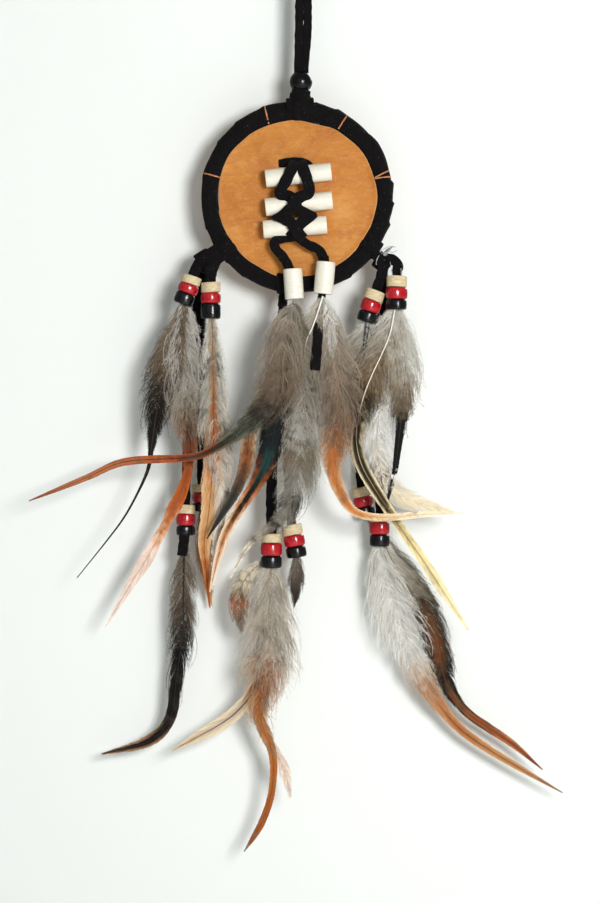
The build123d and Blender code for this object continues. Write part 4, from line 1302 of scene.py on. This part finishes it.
feather(
    "right_long_white", 6.5, depth=(-2.6, 2.6), thick=0.3, front=0.3,
    mottle=(0.2, (160, 152, 140), 100),
    shaft=[(33, -260.6, 0.6), (32.8, -264, 2.6), (32.8, -268, 5.2), (34.6, -276.9, 7.8), (38.4, -288.6, 9.6),
        (41.9, -298.3, 9.2), (45.4, -306.6, 6.6), (48.9, -314.9, 5), (53.2, -323.3, 3.5), (59.4, -332.3, 2.4),
        (67.5, -341, 1.9), (78.6, -348.9, 1.7), (92.4, -357.2, 1.3), (109.4, -367, 0.2)],
    fluffy=[(0, 1), (0.36, 1), (0.44, 0.5), (0.52, 0.15), (0.6, 0)],
    core=[(0, 214, 212, 204), (0.16, 232, 230, 223), (0.36, 238, 236, 230), (0.42, 224, 206, 188),
        (0.48, 190, 136, 98), (0.56, 182, 118, 70), (0.66, 172, 106, 58), (0.76, 184, 128, 80),
        (0.9, 180, 124, 78), (1, 120, 108, 100)],
    edge=[(0, 218, 216, 208), (0.38, 240, 238, 232), (0.46, 224, 192, 162), (0.56, 214, 164, 118),
        (0.68, 206, 150, 104), (0.8, 220, 176, 128), (1, 226, 190, 146)],
    quill=[(0, 226, 222, 212), (0.45, 206, 170, 136), (0.56, 110, 66, 44), (0.64, 44, 30, 32),
        (0.85, 60, 42, 36), (1, 150, 110, 80)],
)
feather(
    "right_long_dark", 7.3, depth=(-1.6, 2.6), thick=0.24, blend=(0.25, 0.7),
    mottle=(0.35, (96, 84, 64), 170),
    shaft=[(33, -260.6, 0.5), (35.7, -264.4, 1.6), (39.8, -272.7, 4.2), (46.1, -282.4, 6), (51.6, -290, 4.6),
        (55.4, -299.7, 4.9), (57.8, -309.4, 5.4), (60.6, -319.8, 3.4), (64.8, -328, 2.1), (70.9, -334.6, 1.8),
        (79.2, -340.3, 1.8), (89.6, -347.4, 1.4), (101.1, -357.3, 0.2)],
    fluffy=[(0, 1), (0.2, 1), (0.3, 0.7), (0.42, 0.45), (0.55, 0.2), (0.62, 0.03), (1, 0)],
    core=[(0, 206, 202, 192), (0.12, 190, 182, 166), (0.22, 150, 140, 122), (0.27, 60, 52, 42),
        (0.33, 112, 72, 42), (0.45, 118, 70, 40), (0.53, 34, 29, 26), (0.6, 104, 58, 30), (0.68, 142, 80, 38),
        (0.85, 150, 76, 40), (1, 120, 60, 42)],
    edge=[(0, 216, 212, 202), (0.22, 164, 154, 136), (0.3, 70, 64, 52), (0.5, 46, 44, 38), (0.56, 24, 22, 21),
        (0.66, 36, 28, 24), (0.74, 110, 58, 40), (0.86, 196, 130, 84), (1, 160, 84, 62)],
    quill=[(0, 120, 106, 90), (0.3, 54, 44, 36), (0.5, 96, 54, 30), (0.75, 70, 34, 22), (1, 120, 60, 40)],
)
feather(
    "right_long_small", 12, depth=(-2, 1.6), quill=WHITE_QUILL,
    shaft=[(27.6, -250.4, 0.5), (34, -261, 1.8), (46, -276, 3.2), (57, -288.4, 0.5)],
    fluffy=[(0, 1), (0.7, 0.8), (1, 0.3)],
    core=[(0, 186, 182, 172), (0.5, 176, 170, 158), (1, 140, 130, 116)],
)

feather(
    "center_long_grey", -1, depth=(-2.6, 2.6), dense=1.15, thick=0.2, front=0.3,
    mottle=(0.45, (118, 105, 90), 110),
    shaft=[(-12.4, -269, 0.8), (-12.5, -276, 4), (-12.7, -281.3, 7.4), (-12.8, -293.5, 9.8),
        (-13, -305.8, 11.2), (-14, -315, 10.4), (-16, -322.9, 7.4), (-17.3, -328.4, 4.6), (-17.6, -333.3, 3),
        (-16, -338.9, 2.3), (-12.9, -346, 1.9), (-11.4, -354.1, 1.5), (-11.6, -360.6, 1.4),
        (-12.4, -367, 1.4), (-14.2, -373.5, 1.4), (-16.9, -379.9, 1.4), (-20.1, -385.4, 1),
        (-23.4, -390.4, 0.2)],
    fluffy=[(0, 1), (0.4, 1), (0.46, 0.8), (0.51, 0.4), (0.58, 0.14), (0.7, 0.04), (1, 0)],
    core=[(0, 192, 184, 170), (0.16, 188, 178, 163), (0.3, 190, 178, 162), (0.37, 178, 136, 104),
        (0.43, 160, 92, 46), (0.5, 176, 108, 56), (0.62, 178, 106, 50), (0.76, 170, 94, 40),
        (0.93, 160, 84, 28), (1, 120, 106, 94)],
    edge=[(0, 200, 192, 178), (0.33, 200, 188, 172), (0.42, 192, 168, 142), (0.5, 206, 164, 120),
        (0.6, 198, 156, 116), (0.7, 184, 124, 76), (0.85, 156, 80, 28), (1, 150, 110, 80)],
    quill=[(0, 150, 136, 116), (0.45, 150, 84, 40), (1, 120, 60, 22)],
)
feather(
    "center_long_shaft", -0.3, depth=(-1.6, 2), thick=0.5, blend=(0.1, 0.7),
    shaft=[(-12.6, -269, 0.5), (-14.5, -288, 1.6), (-17, -312, 2.4), (-20.4, -324.6, 2.6),
        (-27.1, -332.9, 2.9), (-34, -338, 2.8), (-42, -342.5, 2.2), (-53.7, -348.8, 0.2)],
    fluffy=[(0, 0.9), (0.4, 0.5), (0.52, 0.05), (1, 0)],
    core=[(0, 160, 144, 122), (0.45, 120, 98, 78), (0.58, 176, 154, 136), (0.8, 204, 184, 160),
        (1, 190, 164, 130)],
    edge=[(0, 180, 166, 146), (0.5, 206, 186, 156), (0.7, 228, 210, 180), (1, 230, 206, 172)],
    quill=[(0, 90, 76, 60), (0.45, 30, 20, 14), (0.8, 44, 30, 22), (1, 120, 94, 70)],
)
feather(
    "center_long_side", 0.2, depth=(-1.2, 1.6), dense=0.8, thick=0.15, quill=DARK_QUILL,
    mottle=(0.6, (96, 74, 54), 260),
    shaft=[(-14, -269, 0.5), (-19, -272.5, 2.2), (-24, -278.5, 3.8), (-26.2, -286, 3.5), (-25.4, -293, 2.8),
        (-24.6, -298.5, 0.4)],
    fluffy=[(0, 0.9), (0.7, 0.8), (1, 0.6)],
    core=[(0, 214, 206, 192), (0.42, 222, 208, 180), (0.56, 150, 128, 100), (0.66, 176, 104, 64),
        (0.8, 140, 112, 92), (1, 150, 138, 122)],
)
feather(
    "center_long_wisp", -0.4, depth=(-0.5, 0.6), dense=0.3, thick=0.1,
    shaft=[(-16.4, -338, 0.4), (-13.2, -344, 1.2), (-9.6, -351, 2), (-6.6, -358.4, 2.2), (-4.4, -368, 0.3)],
    fluffy=[(0, 0.1), (0.4, 0.3), (1, 0.5)],
    core=[(0, 206, 150, 110), (0.3, 232, 204, 180), (1, 242, 224, 210)],
    quill=[(0, 190, 120, 80), (1, 226, 196, 176)],
)
feather(
    "center_long_small", 0.8, depth=(-1.6, 1.8), dense=1.25, thick=0.18,
    quill=DARK_QUILL,
    shaft=[(-1.8, -266, 0.5), (-1.7, -270, 2.2), (-1.9, -277, 3.1), (-2.3, -283, 1.7), (-2.8, -288.4, 0.3)],
    fluffy=[(0, 0.8), (0.6, 0.4), (1, 0.1)],
    core=[(0, 134, 122, 110), (0.4, 104, 92, 82), (0.7, 70, 60, 52), (1, 40, 34, 30)],
)


# ---------------------------------------------------------------- stitches and ring


def stitch(inner, outer, seed):
    """A thread from a hole at the disc's edge over the front of the wrap to its outside."""
    share = np.linspace(0, 1, 24)[:, None]
    flat = np.asarray(inner, float) * (1 - share) + np.asarray(outer, float) * share
    radial = np.hypot(flat[:, 0] - HOOP[0], flat[:, 1] - HOOP[2])
    front = -np.sqrt(np.clip(4.15**2 - (radial - RING_RADIUS) ** 2, 0, None)) - 0.1
    front = np.minimum(front, np.where(share[:, 0] < 0.2, -2.9, 0))
    line = np.c_[flat[:, 0], front, flat[:, 1]]
    return strip(line, 0.62, 0.5, seed, section=ROUND_SECTION, gap=0.35, ragged=0.12)


STITCHES = [
    ((-13.4, -87.6), (-15.2, -80.2)),
    ((-33.4, -110.0), (-40.4, -108.1)),
    ((15.6, -89.6), (19.1, -84.2)),
    ((30.8, -110.0), (36.6, -107.0)),
    ((30.9, -110.3), (37.3, -109.5)),
]
stitches = [stitch(*ends, 120 + k) for k, ends in enumerate(STITCHES)]
piece("rim_thread_stitches", *joined(stitches), "shield", "thread", ["shield_stitches"])

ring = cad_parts["hoop_ring"]
ring.data.materials.clear()
ring.data.materials.append(MATERIALS["ring_wire"])


# ---------------------------------------------------------------- stage


def stage_plane(name, corners, shade, wall=False):
    """A plain painted plane that is not part of the object."""
    m = Nodes(name, Roughness=0.9, Specular_IOR_Level=0.1)
    tint = m.noise(2.2, 2, 0.5)
    m.color(m.mix(m.grey(tint, 0, 1), shade, tuple(c * 0.975 for c in shade)))
    if wall:
        # its back is clear, so that it hides nothing
        clear = m.node("ShaderNodeBsdfTransparent")
        choose = m.node("ShaderNodeMixShader")
        m.link(m.node("ShaderNodeNewGeometry").outputs["Backfacing"], choose.inputs["Fac"])
        m.link(m.shader.outputs["BSDF"], choose.inputs[1])
        m.link(clear.outputs["BSDF"], choose.inputs[2])
        m.link(choose.outputs["Shader"], m.tree.nodes["Material Output"].inputs["Surface"])
    mesh = bpy.data.meshes.new(name)
    mesh.from_pydata(corners, [], [(0, 1, 2, 3)])
    mesh.materials.append(m.material)
    found = bpy.data.objects.new(name, mesh)
    bpy.context.collection.objects.link(found)
    return found


WALL_Y = 0.0186
FLOOR_Z = -0.46
WALL_TOP = 1.2
wall_outline = ((-1.6, FLOOR_Z), (1.6, FLOOR_Z), (1.6, WALL_TOP), (-1.6, WALL_TOP))
wall_corners = [(x, WALL_Y, z) for x, z in wall_outline]
wall = stage_plane("studio_wall", wall_corners, (0.90, 0.925, 0.90), wall=True)
wall.visible_diffuse = wall.visible_glossy = wall.visible_shadow = wall.visible_transmission = False
floor_corners = [(x * 3, y * 3, FLOOR_Z) for x, y in ((-1, -1), (1, -1), (1, 1), (-1, 1))]
stage_plane("studio_floor", floor_corners, (0.9, 0.9, 0.88))
